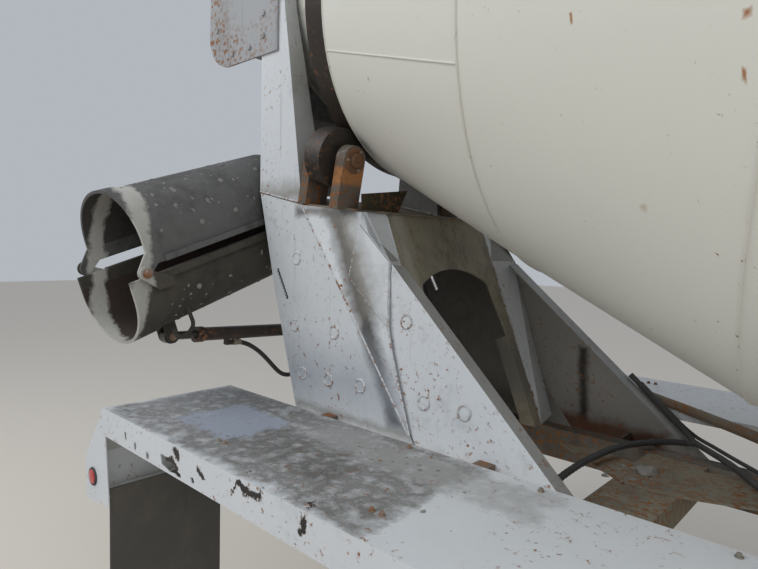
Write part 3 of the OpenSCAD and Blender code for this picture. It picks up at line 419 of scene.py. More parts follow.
def link(data, name, body, *finishes):
    """Object of a finished mesh or curve that rides on a body."""
    ob = placed(name, data)
    for each in finishes:
        data.materials.append(finish(each))
    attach(ob, body)
    return ob


def mesh_of(bm, name):
    mesh = bpy.data.meshes.new(name)
    bm.to_mesh(mesh)
    bm.free()
    return mesh


def made(bm, name, body, *finishes):
    """Object of a bmesh, smooth but for its sharp edges."""
    bmesh.ops.recalc_face_normals(bm, faces=bm.faces)
    mesh = mesh_of(bm, name)
    mesh.shade_smooth()
    mesh.set_sharp_from_angle(angle=SHARP)
    return link(mesh, name, body, *finishes)


def round_curve(name, radius, smoothness):
    """Empty curve with a round section and closed ends."""
    curve = bpy.data.curves.new(name, "CURVE")
    curve.dimensions = "3D"
    curve.bevel_depth = radius
    curve.bevel_resolution = smoothness
    curve.use_fill_caps = True
    return curve


def add_line(curve, points, closed=False):
    """Straight-sided spline of a curve through some points."""
    spline = curve.splines.new("POLY")
    spline.points.add(len(points) - 1)
    for spot, p in zip(spline.points, points):
        spot.co = (*p, 1)
    spline.use_cyclic_u = closed
    return spline


def swept(name, runs, body, material, ripple, seed):
    """Weld beads along runs of points, each with a mark for a closed loop."""
    dice = random.Random(seed)
    curve = round_curve(name, sizes().bead_r, 1)
    for points, closed in runs:
        for spot in add_line(curve, points, closed).points:
            spot.radius = 1 + dice.uniform(-ripple, ripple)
    holder = placed(name + "_line", curve)
    graph = bpy.context.evaluated_depsgraph_get()
    mesh = bpy.data.meshes.new_from_object(holder.evaluated_get(graph))
    bpy.data.objects.remove(holder)
    bpy.data.curves.remove(curve)
    mesh.name = name
    mesh.shade_smooth()
    return link(mesh, name, body, material)


def along(points, step):
    """Points no further apart than step on the lines through some points."""
    out = [Vector(points[0])]
    for a, b in zip(points, points[1:]):
        a, b = Vector(a), Vector(b)
        n = max(1, math.ceil((b - a).length / step))
        out += [a.lerp(b, (i + 1) / n) for i in range(n)]
    return out


def smooth_route(p, k):
    """The same soft line through a hose's points as the solid's, k steps between two."""
    p = [Vector(v) for v in p]
    out = []
    for i in range(len(p) - 1):
        a, b, c, d = p[max(i - 1, 0)], p[i], p[i + 1], p[min(i + 2, len(p) - 1)]
        for j in range(k):
            s = j / k
            out.append(0.5 * (2 * b + (c - a) * s + (2 * a - 5 * b + 4 * c - d) * s * s
                              + (3 * b - a - 3 * c + d) * s ** 3))
    return out + [p[-1]]


def polar(radius, angle, z=0.0):
    return Vector((radius * math.cos(angle), radius * math.sin(angle), z))


def ring(matrix, radius, z, count):
    return [matrix @ polar(radius, 2 * math.pi * i / count, z) for i in range(count)]


def on_drum(station, degrees, radius):
    """Point at a station of the drum's axis and an angle from straight down."""
    return DRUM @ polar(radius, math.radians(degrees), station)


def upright(place, direction):
    """Matrix whose Z looks in a direction."""
    m = Vector(direction).to_track_quat("Z", "X").to_matrix().to_4x4()
    m.translation = Vector(place)
    return m


def raised(matrix, height):
    return matrix @ Matrix.Translation((0, 0, height))


def rounded(bm, edges, size):
    bmesh.ops.bevel(bm, geom=edges, affect="EDGES", offset=size, segments=2, profile=0.5,
                    material=-1)


def disc(bm, matrix, radius, height, sides=24, top=None, edge=0.0):
    """Disc, cone or hexagon that stands on a matrix's Z, with its top edge bevelled."""
    shape = raised(matrix, height / 2)
    verts = bmesh.ops.create_cone(bm, cap_ends=True, segments=sides, radius1=radius,
                                  radius2=radius if top is None else top, depth=height,
                                  matrix=shape)["verts"]
    if edge:
        up = matrix.to_3x3() @ Z
        high = {v for v in verts if (v.co - shape.translation).dot(up) > 0}
        rounded(bm, [e for e in {e for v in verts for e in v.link_edges}
                     if high.issuperset(e.verts)], edge)


def bolt(bm, place, direction, r=None):
    """Hexagon head on its washer, sunk a little into what it holds."""
    r = r or sizes().bolt_r
    m = upright(place, direction)
    disc(bm, raised(m, -0.001), 1.45 * r, 0.004, 20, edge=0.0007)
    disc(bm, raised(m, 0.003), r, 1.1 * r, 6, edge=0.15 * r)


def revolved(bm, matrix, profile, steps):
    """Solid of a profile of radius and height round a matrix's Z."""
    verts = [bm.verts.new(matrix @ Vector((r, 0, z))) for r, z in profile]
    edges = [bm.edges.new(pair) for pair in zip(verts, verts[1:])]
    bmesh.ops.spin(bm, geom=verts + edges, cent=matrix.translation, axis=matrix.to_3x3() @ Z,
                   angle=2 * math.pi, steps=steps, use_merge=True, use_duplicate=False)


# Weld beads

def bent(x, z, lift=0.0):
    """Point over the bent panel, which turns inward in front of the crease."""
    run = Vector((CREASE_FOOT[0] - CREASE_TOP[0], CREASE_FOOT[1] - CREASE_TOP[1]))
    n = Vector((-run.y, run.x)).normalized()

    def past(p):
        return (p[0] - CREASE_TOP[0]) * n.x + (p[1] - CREASE_TOP[1]) * n.y

    half = GUSSET_Y - GUSSET_TOP[1] * math.tan(GUSSET_A)
    bend = (SIDE_Y - half) / past(GUSSET_TOP)
    return Vector((x, bend * past((x, z)) - SIDE_Y - lift * math.hypot(1, bend), z))


def crease_x(z):
    return CREASE_FOOT[0] + (CREASE_TOP[0] - CREASE_FOOT[0]) * z / CREASE_TOP[1]


def on_gusset(x, z, lift=0.0):
    """Point on the leaning gusset's outer face, z measured up its plate."""
    tilt = Matrix.Rotation(-GUSSET_A, 4, "X")
    return Matrix.Translation((0, -GUSSET_Y, 0)) @ tilt @ Vector((x, -lift, z))


def on_web(y, z):
    return Vector((WEB_X0 - z * math.tan(WEB_A), y, z))


def pedestal_beads():
    """Beads of the right side: open seams, then the rings round the weld marks."""
    y = -SIDE_Y
    seams = (
        [(CREASE_TOP[0], y, CAP_Z - 0.012), (crease_x(CREASE_LOW), y, CREASE_LOW)],
        [bent(x, z, 0.002) for x, z in DOUBLER],
        [bent(*PANEL_TIP), bent(-0.126, 0.664), bent(*GUSSET_TOP)],
        [bent(crease_x(CREASE_LOW) + 0.004, CREASE_LOW), bent(*PANEL_TIP)],
        [on_web(-WEB_Y, RAIL_H + 0.01), on_web(-WEB_Y, 1.1)],
        [(CREASE_TOP[0], y, CAP_Z), (CREASE_TOP[0], -COLUMN_Y, CAP_Z),
         (REAR_TOP[0] + 0.006, -COLUMN_Y, REAR_TOP[1])],
        [(REAR_TOP[0], y, REAR_TOP[1]), (CREASE_TOP[0], y, CAP_Z)],
        [(-0.555, y, 0.004), (CREASE_FOOT[0] - 0.02, y, 0.004)],
        [(-0.925, y, 1.86), (-0.925, y, 2.55)],
        [(-0.802, y, 1.86), (-0.843, y, 2.5)])
    out = on_gusset(0, 0, 1) - on_gusset(0, 0)
    marks = [upright((x, y - MARK_H, z), (0, -1, 0)) for x, z in SIDE_MARKS]
    marks += [upright(on_gusset(x, z, MARK_H), out) for x, z in GUSSET_MARKS]
    return ([(seam, False) for seam in seams]
            + [(ring(m, MARK_R, -0.0006, MARK_STEPS), True) for m in marks])


def frame_weld_runs():
    """Beads of both sides and of the front stand's feet, in short steps."""
    right = pedestal_beads()
    left = [([Vector((p[0], -p[1], p[2])) for p in points], closed) for points, closed in right]
    feet = [([(STAND_X + x0, y, z), (STAND_X + x1, y, z)], False)
            for x0, x1, out, z in ((-0.25, 0.34, 0.252, BASE_Z), (-0.26, 0.37, 0.43, RAIL_H))
            for y in (-out, out)]
    return [(p if closed else along(p, 0.006), closed) for p, closed in right + left + feet]


def drum_weld_runs():
    """Beads round the drum at each change of plate, and its lengthwise seams."""
    rings = ((0.0, CONE_R0), (CONE_S1 + 0.003, CONE_R1 + 0.002), (CONE_S2, DRUM_R),
             (0.5 * (CONE_S2 + BELLY_S1), DRUM_R), (BELLY_S1, DRUM_R), (FRONT_S2, FRONT_R2),
             (NECK_S1, NECK_R1), (TRACK_S0, NECK_R2))
    runs = [(ring(DRUM, r, s, 240), True) for s, r in rings]
    # Both ends of each plate, and the angles of its seams from straight down
    for ends, angles in ((((0.004, CONE_R0), (CONE_S1, CONE_R1)), (-65.5, 114.5)),
                         (((CONE_S1, CONE_R1), (CONE_S2, DRUM_R)), (20, 140, 260)),
                         (((CONE_S2, DRUM_R), (BELLY_S1, DRUM_R)), (75, 165, -105, -15)),
                         (((BELLY_S1, DRUM_R), (FRONT_S2, FRONT_R2)), (50, 170, 290))):
        runs += [(along([on_drum(s, angle, r) for s, r in ends], 0.02), False)
                 for angle in angles]
    return runs


# Pieces on the drum

def build_fins():
    """Two mixing fins that wind through the neck."""
    bm = bmesh.new()
    steps = 66
    for start in (0, math.pi):
        m = DRUM @ Matrix.Rotation(start, 4, "Z")
        inner = bm.verts.new(m @ Vector((FIN_R - sizes().fin_h, 0, NECK_S0 + 0.03)))
        outer = bm.verts.new(m @ Vector((FIN_R, 0, NECK_S0 + 0.01)))
        edge = bm.edges.new((inner, outer))
        bmesh.ops.spin(bm, geom=[inner, outer, edge], cent=DRUM.translation, axis=DRUM_AXIS,
                       angle=FIN_TURN, steps=steps, dvec=DRUM_AXIS * (FIN_PITCH / steps),
                       use_merge=False, use_duplicate=False)
    bmesh.ops.recalc_face_normals(bm, faces=bm.faces)
    bmesh.ops.solidify(bm, geom=bm.faces[:], thickness=FIN_T)
    made(bm, "neck_fins", "drum", "crusted steel")


# Pieces on the frame

def roller_place(side, s):
    """Point on a roller's axis at a station of the drum's axis."""
    base = joint_at("roller_right_spin" if side < 0 else "roller_left_spin")
    now = (base - DRUM.translation).dot(DRUM_AXIS)
    return base + (s - now) * DRUM_AXIS


LUGS = ((TRACK_S1 + LUG_OUT, 1), (TRACK_S0 - LUG_OUT, -1))


def build_frame_bolts():
    """Bolts of the drive's flanges, the stand's feet, flaps, fenders and pin caps."""
    bm = bmesh.new()
    case_s = STAND_S + STAND_T
    for count, radius, station, r in ((20, CASE_R + 0.018, case_s + 0.025, 0.011),
                                      (6, 0.105, case_s + CASE_L + CASE_END_L, 0.009)):
        for place in ring(DRUM, radius, station, count):
            bolt(bm, place, DRUM_AXIS, r)
    for x in (-0.235, -0.1, 0.1, 0.33):
        for y in (-0.39, 0.39):
            bolt(bm, (STAND_X + x, y, BASE_Z), Z)
    for side in SIDES:
        for y in (0.70, 0.82, 0.94, 1.06, 1.14):
            bolt(bm, (FLAP_X - 0.004, side * y, FLAP_Z), (-1, 0, 0), 0.008)
        edge_bolts = [(x, FENDER_Y0 + 0.035) for x in (FENDER_X1 - 0.05, 1.1, 0.6, 0.1)]
        arm_bolts = [(x + off, FENDER_Y1 - 0.13) for x in (-0.39, 0.36)
                     for off in (-0.018, 0.018)]
        for x, y in edge_bolts + arm_bolts:
            bolt(bm, (x, side * y, FENDER_Z), Z, 0.007)
        for s, out in LUGS:
            for t in (30, 150, 270):
                off = DRUM.to_3x3() @ polar(CAP_BOLT_R, math.radians(t))
                bolt(bm, roller_place(side, s) + off, DRUM_AXIS * out, 0.0065)
    made(bm, "frame_bolts", "mixer_frame", "fasteners")


def build_pin_caps():
    """Round cover plates with grease nipples on the rollers' pins."""
    bm = bmesh.new()
    for side in SIDES:
        for s, out in LUGS:
            m = upright(roller_place(side, s), DRUM_AXIS * out)
            revolved(bm, m, ((0.0001, 0.02), (0.026, 0.02), (0.03, 0.016), (0.031, 0.006),
                             (0.05, 0.006), (0.053, 0.003), (0.053, -0.001)), 32)
            disc(bm, raised(m, 0.019), 0.006, 0.006, 6, edge=0.0008)
            disc(bm, raised(m, 0.024), 0.0035, 0.008, 10, top=0.002)
    bmesh.ops.remove_doubles(bm, verts=bm.verts, dist=WELD_DIST)
    made(bm, "pin_caps", "mixer_frame", "rusty steel")


def build_lamps():
    """Red domed lenses with rings, in black rubber rims."""
    bm = bmesh.new()
    lens = [(LAMP_R * math.cos(t), 0.006 + 0.0072 * math.sin(t) + (0.0006 if i % 2 else 0))
            for i, t in enumerate(math.radians(7.5 * i) for i in range(12))]
    lens.append((0.0001, 0.0132))
    rim = [(LAMP_R + 0.007, 0.0), (LAMP_R + 0.0075, 0.003), (LAMP_R + 0.005, 0.0075),
           (LAMP_R + 0.001, 0.0085), (LAMP_R - 0.001, 0.006)]
    for side in SIDES:
        m = upright((LAMP[0], side * FENDER_Y1, LAMP[1]), (0, side, 0))
        revolved(bm, m, rim, 48)
        before = set(bm.faces)
        revolved(bm, m, lens, 48)
        for f in set(bm.faces) - before:
            f.material_index = 1
    bmesh.ops.remove_doubles(bm, verts=bm.verts, dist=WELD_DIST)
    lamps = made(bm, "lamp_lenses", "mixer_frame", "rubber", "lens")
    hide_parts("side_lamps")


def build_flap_strips():
    """Flat bars that clamp the mud flaps, with rounded edges."""
    bm = bmesh.new()
    y0, y1 = FENDER_Y0 + 0.03, FENDER_Y1 - 0.075
    for side in SIDES:
        place = Matrix.Translation((FLAP_X - 0.002, side * (y0 + y1) / 2, FLAP_Z))
        size = Matrix.Diagonal((0.004, y1 - y0, 0.028, 1))
        verts = bmesh.ops.create_cube(bm, size=1, matrix=place @ size)["verts"]
        rounded(bm, list({e for v in verts for e in v.link_edges}), 0.0012)
    made(bm, "flap_strips", "mixer_frame", "rusty steel")


def build_conduit():
    """Corrugated black sleeve over the thin conduit beside the pedestal."""
    line = smooth_route(CONDUIT, 14)[6:-3]
    bm = bmesh.new()
    sides, last = 12, None
    for i, p in enumerate(line):
        ahead = (line[min(i + 1, len(line) - 1)] - line[max(i - 1, 0)]).normalized()
        loop = bmesh.ops.create_circle(bm, segments=sides, radius=0.0142 if i % 2 else 0.0118,
                                       matrix=upright(p, ahead))["verts"]
        if last:
            start = min(range(sides), key=lambda k: (loop[k].co - last[0].co).length)
            loop = loop[start:] + loop[:start]
            for k in range(sides):
                after = (k + 1) % sides
                bm.faces.new((last[k], last[after], loop[after], loop[k]))
        last = loop
    bmesh.ops.holes_fill(bm, edges=[e for e in bm.edges if e.is_boundary])
    made(bm, "conduit_sleeve", "mixer_frame", "rubber")


def build_hose():
    """Free hose from the lift cylinder's elbow to the swivel on its base pin, with fittings."""
    route = [SWING @ v for v in smooth_route(SWING_HOSE, 6)]
    radius = sizes().hose_r
    curve = round_curve("lift_hose_line", radius, 4)
    add_line(curve, route)
    hose = link(curve, "lift_hose_line", "lift_barrel", "rubber")
    for name, end, near in (("hose_fitting_upper", route[0], route[3]),
                            ("hose_fitting_lower", route[-1], route[-4])):
        bm = bmesh.new()
        m = upright(end, near - end)
        disc(bm, raised(m, 0.001), radius * 1.45, 0.014, 6, edge=0.001)
        disc(bm, raised(m, 0.014), radius * 1.22, 0.034, edge=0.0015)
        for z in (0.02, 0.028, 0.036):
            disc(bm, raised(m, z), radius * 1.3, 0.004, edge=0.0006)
        made(bm, name, "lift_barrel", "fasteners")
    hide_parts("lift_hose")


# Pieces on the chutes

def build_chute_hardware():
    """Washers and nuts on the chutes' pivot, lift and hinge pins."""
    # Radius, height, sides and rounding of the pieces on each pin, from the chute outward
    pivot = ((0.031, 0.004, 28, 0.0008),)
    lift = ((0.019, 0.003, 24, 0.0006), (0.014, 0.009, 6, 0.001))
    hinge = ((0.021, 0.003, 24, 0.0006), (0.0165, 0.012, 6, 0.0015))
    for name, body, pins in (
            ("main_chute_pins", "chute_main", ((0, 0.1155, 0, pivot),
                                               (0.9704, 0.036, -0.0159, lift))),
            ("fold_chute_nuts", "chute_fold", ((HINGE_X, 0.2465, HINGE_Z, hinge),))):
        bm = bmesh.new()
        for side in SIDES:
            out = CHUTE.to_3x3() @ Vector((0, side, 0))
            for x, y, z, stack in pins:
                place = CHUTE @ Vector((x, side * y, z))
                for radius, height, sides, edge in stack:
                    disc(bm, upright(place, out), radius, height, sides, edge=edge)
                    place = place + 0.003 * out
        made(bm, name, body, "fasteners")


def crust(name, body, spots, seed):
    """Set lumps of concrete, each a place, the way out of the surface and its radius."""
    dice = random.Random(seed)
    bm = bmesh.new()
    for place, out, r in spots:
        m = upright(place, out) @ Matrix.Rotation(dice.uniform(0, 6.28), 4, "Z")
        m = m @ Matrix.Diagonal((r, r * dice.uniform(0.5, 1), r * dice.uniform(0.18, 0.4), 1))
        ball = bmesh.ops.create_icosphere(bm, subdivisions=2 if r > 0.02 else 1, radius=1,
                                          matrix=m)["verts"]
        for v in ball:
            v.co += Vector([dice.uniform(-0.16, 0.16) * r for _ in range(3)])
    made(bm, name, body, "crust")


def chute_spots(centre, radius, x0, x1, low, high, seed):
    """Places on a trough's outside between two angles, measured round its axis from its rim."""
    dice = random.Random(seed)
    spots = []
    for _ in range(sizes().crust_count):
        t = math.radians(dice.uniform(low, high))
        out = Vector((0, math.cos(t), math.sin(t)))
        place = Vector((dice.uniform(x0, x1), 0, centre)) + radius * out
        r = sizes().crust_r * dice.uniform(0.15, 1) ** 1.8 + 0.0015
        spots.append((CHUTE @ place, CHUTE.to_3x3() @ out, r))
    return spots


def fender_spots():
    """Lumps on the right fender's top and over the frame behind the web."""
    dice = random.Random(8)
    spots = [(Vector((dice.gauss(-0.1, 0.3), -dice.uniform(0.65, 1.15), FENDER_Z)),
              Z, 0.0015 + 0.009 * dice.random() ** 3) for _ in range(150)]
    spots += [(Vector((dice.gauss(0.62, 0.07), dice.gauss(0.05, 0.05), RAIL_H)),
               Z, 0.002 + 0.014 * dice.random() ** 2) for _ in range(40)]
    # The one large lump behind the web
    spots.append((Vector((0.66, 0.1, RAIL_H + 0.004)), Z, 0.045))
    return [s for s in spots if -1.05 < s[0].x < 1.5]


# Finishes: shades are names of the colour properties, or red, green and blue

DUSTY = (0.2, 0.185, 0.155)
GREY_DUST = (0.185, 0.175, 0.155)
CRUSTY = dict(grime=0.55, grime_strength=0.7, streak=0.35, rust=0.3, rough=0.88, bump=0.75,
              lumps=1.3)
GREASY = dict(grime=0.6, streak=0.3, rust=0.5, rough=0.45, bump=0.35)

# Values of the finishes: those that node_finish takes by position, then others by name
FINISHES = {
    "white welds": (("white", None, 0.5, 0.4, 0.5), {}),
    "drum welds": (("drum", None, 0.42, 0.3, 0.4, 0.45), {}),
    "fasteners": (((0.3, 0.27, 0.23), None, 0.55, 0.38, 0.62, 0.55, 0.4), {}),
    "rusty steel": (("rust", (0.2, 0.12, 0.07), 0.55, 0.38, 0.66, 0.75, 0.6), {"lumps": 0.5}),
    "crusted steel": (("concrete", None, 0.55, 0.38, 0.55, 0.85, 0.8), {"lumps": 1.2}),
    "crust": (("concrete", (0.3, 0.29, 0.265), 0.35, 0.38, 0.2, 0.92, 0.7), {"lumps": 0.8}),
    "rubber": (("rubber", (0.05, 0.048, 0.045), 0.3, 0.2, 0.0, 0.62, 0.2),
               {"grime_shade": "concrete", "grime_strength": 0.3}),
    "lens": (("lens", (0.4, 0.01, 0.012), 0.42, 0.3, 0.0, 0.22, 0.03),
             {"grime_strength": 0.35, "coat": 0.6}),
}


def finish(name):
    """Material of a finish, made when it is first asked for."""
    wear, more = FINISHES[name]
    return bpy.data.materials.get(name) or weathered(name, *wear, **more)


def node_finish(node, *wear, **more):
    """A finish of its own on one of the frame's nodes: base and second shade, grime, streak,
    rust, roughness and bump, and what else by name."""
    ob = frame["nodes"][node]
    mat = weathered(node, *wear, **more)
    for slot in ob.material_slots:
        slot.material = mat
    if not ob.material_slots:
        ob.data.materials.append(mat)


def paint_pedestal():
    """White pedestal with its dark run of oil, beige web, dirty cap and rusty brackets."""
    for side, name in zip(SIDES, ("left", "right")):
        y, out, inward = side * SIDE_Y, (0, side, 0), (0, -side, 0)
        inside = side * 0.5
        node_finish(
            "pedestal_side_" + name, "white", None, 0.44, 0.42, 0.4, grime_strength=0.42,
            streak_strength=0.45, sides=((inward, DUSTY, 0.8), ((0, 0, 1), DUSTY, 0.8)),
            patches=(
                patch((-0.245, y, 0.71), (0.062, 0.3, 0.45), "grime", 0.05, 0.07, 0.95, out,
                      (-0.5, 0, 0)),
                patch((-0.31, y, 0.9), (0.1, 0.3, 0.26), DUSTY, 0.09, 0.12, 0.7, out,
                      (-0.5, 0, 0)),
                patch((-0.5, y, 1.12), (0.17, 0.3, 0.035), (0.1, 0.095, 0.085), 0.03, 0.05, 0.8,
                      out),
                # Painted shade: bluish darkening low on the side plate, in place of the sky-lit
                # shade that falls there
                patch((-0.35, y, 0.42), (0.5, 0.3, 0.2), (0.3, 0.33, 0.37), 0.25, 0.1, 0.75,
                      out),
                patch((-0.1, y, 0.27), (0.55, 0.3, 0.03), DUSTY, 0.03, 0.06, 0.6, out)))
        node_finish(
            "pedestal_gusset_" + name, "white", None, 0.44, 0.36, 0.42, grime_strength=0.4,
            # Faces that look forward and up are darker: partly wet dirt, partly painted shadow
            # cast by the drum
            sides=((inward, (0.3, 0.285, 0.26), 1.1), ((0.66, 0, 0.75), (0.2, 0.19, 0.17), 0.75)),
            patches=(
                patch((0.215, side * 0.53, 0.33), (0.035, 0.2, 0.2), "grime", 0.03, 0.05, 1.0,
                      inward),
                patch((0.2, inside, 0.12), (0.42, 0.2, 0.07), "rust", 0.05, 0.1, 0.9, inward),
                patch((-0.125, inside, 0.69), (0.03, 0.2, 0.04), "bloom", 0.03, 0.06, 1.0,
                      inward)))
        node_finish("column_" + name, "white", None, 0.42, 0.45, 0.4, grime_strength=0.4,
                    sides=(((1, 0, 0), DUSTY, 0.5), (inward, DUSTY, 0.7)),
                    patches=(patch((-0.75, y, 1.2), (0.3, 0.4, 0.08), DUSTY, 0.08, 0.1, 0.7),))
        node_finish("hopper_plate_" + name, (0.36, 0.37, 0.38), None, 0.5, 0.46, 0.5, 0.6,
                    grime_shade="concrete", grime_strength=0.6)
        node_finish(
            "roller_bracket_" + name, (0.1, 0.078, 0.06), (0.16, 0.135, 0.11), 0.55, 0.38, 0.5,
            0.75, 0.6, lumps=0.5,
            patches=(
                patch((-0.42, inside, 1.26), (0.09, 0.09, 0.045), "bloom", 0.02, 0.06, 1.0),
                patch((-0.4, inside, 1.33), (0.07, 0.07, 0.03), (0.5, 0.49, 0.46), 0.02, 0.07,
                      0.8)))
    node_finish(
        "pedestal_web", (0.36, 0.33, 0.25), (0.24, 0.21, 0.15), 0.5, 0.5, 0.36, 0.8, 0.4,
        # Near-black on the faces that look back into the pedestal box is painted shade
        grime_strength=0.5, streak_strength=0.6, sides=(((-1, 0, 0), (0.1, 0.09, 0.08), 0.9),),
        patches=(
            patch((-0.29, -0.3, 0.95), (0.2, 0.06, 0.25), (0.42, 0.4, 0.33), 0.05, 0.1, 0.6),
            patch((-0.05, 0, 0.4), (0.2, 0.6, 0.2), (0.17, 0.165, 0.15), 0.1, 0.15, 0.8,
                  lean=(-0.4, 0, 0))))
    node_finish(
        "pedestal_cap", (0.3, 0.26, 0.18), DUSTY, 0.6, 0.4, 0.5, 0.85, 0.6, lumps=0.8,
        patches=(patch((-0.33, -0.35, 1.16), (0.03, 0.2, 0.1), (0.035, 0.027, 0.012), 0.02,
                       0.04, 0.95),))
    # Near-black on the faces that look forward into the pedestal box is painted shade
    node_finish("pedestal_rear_wall", "white", None, 0.5, 0.5, 0.42,
                sides=(((1, 0, 0), (0.11, 0.1, 0.09), 1.0),))
    node_finish("swing_bearing", "white", None, 0.55, 0.45, 0.5)


def paint_fenders():
    """Right fender with its dirty top, pale patch and rusted skirt, left one, arms and flaps."""
    top, under = (0, 0, 1), ((0, 0, -1), GREY_DUST, 0.9)
    stains_and_hole_shade = [
        patch((x, y, FENDER_Z), (*half, 0.06), shade, soft, ragged, strength, top, lean)
        for x, y, half, shade, soft, ragged, strength, lean in (
            (-0.34, -0.9, (0.76, 0.33), (0.15, 0.145, 0.135), 0.07, 0.22, 1.1, NO_LEAN),
            (-0.2, -0.95, (0.34, 0.14), (0.08, 0.075, 0.066), 0.08, 0.25, 0.9, NO_LEAN),
            (-0.58, -0.92, (0.2, 0.17), (0.31, 0.35, 0.42), 0.03, 0.2, 0.9, (0.15, 0.1, 0)),
            (0.2, -0.75, (0.5, 0.12), (0.33, 0.33, 0.32), 0.06, 0.2, 0.7, NO_LEAN))]
    # Rims first, then near-black painted shade over them that stands in for holes rusted through
    # the skirt
    for wider, high, shade, soft, strength in ((0.004, 0.02, "rust", 0.008, 0.8),
                                               (0.0, 0.016, (0.008, 0.006, 0.005), 0.004, 1.3)):
        stains_and_hole_shade += [patch((x, -FENDER_Y1, z), (long + wider, 0.05, high), shade, soft, 0.16,
                         strength) for x, z, long in SKIRT_RUST]
    node_finish("fender_right", "white", None, 0.4, 0.35, 0.4, 0.5, 0.35, grime_strength=0.35,
                streak_strength=0.4, sides=(((-0.8, 0, 0.5), (0.5, 0.43, 0.28), 0.7), under),
                patches=stains_and_hole_shade)
    node_finish("fender_left", "white", (0.6, 0.6, 0.58), 0.42, 0.35, 0.4, 0.5, 0.3,
                grime_strength=0.4, grime_shade="concrete", sides=(under,))
    node_finish("fender_arms", GREY_DUST, None, 0.6, 0.4, 0.6, 0.85, 0.5)
    node_finish("mud_flaps", (0.05, 0.048, 0.045), (0.11, 0.1, 0.085), 0.45, 0.4, 0.0, 0.8, 0.3,
                grime_shade="beige", grime_strength=0.25)


def paint_frame():
    """Dull subframe, crusted crossmembers, drive and the lines beside the pedestal."""
    for node in ("subframe_rail_right", "subframe_rail_left", "outriggers"):
        node_finish(node, (0.2, 0.19, 0.17), (0.1, 0.09, 0.075), 0.55, 0.35, 0.5, 0.85, 0.5)
    node_finish("crossmembers", "beige", (0.19, 0.175, 0.14), 0.5, 0.3, 0.5, 0.9, 0.7, lumps=0.9)
    node_finish("front_pedestal", "white", None, 0.48, 0.45, 0.42)
    node_finish("drive_gearbox", (0.32, 0.33, 0.34), None, 0.55, 0.4, 0.42, 0.55, 0.4)
    node_finish("hydraulic_motor", (0.05, 0.05, 0.052), None, 0.5, 0.38, 0.4)
    node_finish("frame_hoses", "rubber", (0.1, 0.095, 0.085), 0.5, 0.2, 0.0, 0.75,
                grime_shade="concrete", grime_strength=0.6)
    node_finish("frame_pipe", (0.2, 0.175, 0.13), None, 0.5, 0.3, 0.6, 0.75, 0.5)


def paint_drum():
    """Off-white drum with its rust spots, dark track and rollers."""
    axis, centre = tuple(DRUM_AXIS), tuple(DRUM.translation)
    # Spots of each plate: station, angle from straight down, radius, size, shade, length
    # to width and strength
    spots = {
        "rear_cone_large": ((1.178, -71, 1.109, 0.005, "bloom", 2.6, 1),
                            (1.52, -70.8, 1.205, 0.009, "bloom", 1, 1),
                            (1.53, -66.5, 1.209, 0.005, "bloom", 3, 1),
                            (1.37, -52.6, 1.163, 0.011, (0.45, 0.36, 0.24), 1, 0.7)),
        "rear_cone_small": ((0.3, -60, 0.85, 0.008, "bloom", 1, 1),),
        "drum_belly": ((2.2, -60, 1.22, 0.02, "bloom", 1, 1),
                       (2.7, 100, 1.22, 0.03, "bloom", 1, 1)),
        "front_cone": ((3.6, 60, 1.0, 0.02, "rust", 1, 1),),
        "drum_neck": ((-0.3, -60, 0.55, 0.03, "bloom", 1, 1),),
        "drum_head": ((4.15, 60, 0.65, 0.02, "rust", 1, 1),),
    }
    inner = {"drum_neck": 0.462, "rear_cone_small": 0.752}
    for node, marks in spots.items():
        dirty = node == "drum_neck"
        cores = ((centre, axis, inner[node], (0.13, 0.12, 0.105), 1.0),) if node in inner else ()
        node_finish(
            node, "drum", (0.70, 0.69, 0.62), 0.55 if dirty else 0.33, 0.3, 0.33, 0.42, 0.12,
            grime_strength=0.6 if dirty else 0.2, streak_strength=0.18, cores=cores,
            patches=[patch(tuple(on_drum(s, angle, r)), (size, size, size * tall), shade,
                           0.8 * size, 3.5 * size, strength)
                     for s, angle, r, size, shade, tall, strength in marks])
    node_finish("track_ring", "steel", (0.045, 0.03, 0.02), 0.5, 0.2, 0.42, 0.38, 0.3,
                metallic=0.35)
    for name in ("roller_right", "roller_left"):
        node_finish(name, (0.05, 0.042, 0.036), None, 0.5, 0.38, 0.45, 0.42, 0.3, metallic=0.4)


def paint_chutes():
    """Chutes crusted with concrete and worn at the hinge, hoppers, post and cylinder."""
    across = tuple(SWING_X * math.cos(CHUTE_SLOPE) + Vector((0, 0, -math.sin(CHUTE_SLOPE))))
    band = patch(tuple(CHUTE @ Vector((HINGE_X, 0, 0.3))), (0.5, 0.045, 0.5),
                 (0.47, 0.46, 0.42), 0.02, 0.1, 0.9)
    for node, base, second, height, radius, inside in (
            ("main_chute", (0.085, 0.076, 0.06), (0.05, 0.042, 0.03), TROUGH_C, TROUGH_R,
             (0.05, 0.03, 0.024)),
            ("fold_chute", (0.15, 0.15, 0.147), (0.085, 0.082, 0.076), FOLD_C, FOLD_R,
             (0.045, 0.038, 0.032))):
        axis_point = tuple(CHUTE @ Vector((0, 0, height)))
        node_finish(node, base, second, patches=(band,),
                    cores=((axis_point, across, radius - 0.003, inside, 0.85),), **CRUSTY)
    node_finish("collector", (0.24, 0.235, 0.22), (0.33, 0.33, 0.32), **CRUSTY)
    node_finish("charge_hopper", (0.5, 0.51, 0.52), (0.3, 0.29, 0.27), **CRUSTY)
    node_finish("swing_post", (0.06, 0.055, 0.05), **GREASY)
    node_finish("lift_barrel", (0.018, 0.017, 0.017), (0.06, 0.035, 0.02), **GREASY)
    node_finish("lift_rod", (0.16, 0.155, 0.15), (0.07, 0.055, 0.045), 0.5, 0.38, 0.35, 0.32, 0.1,
                metallic=0.8)


# Stage

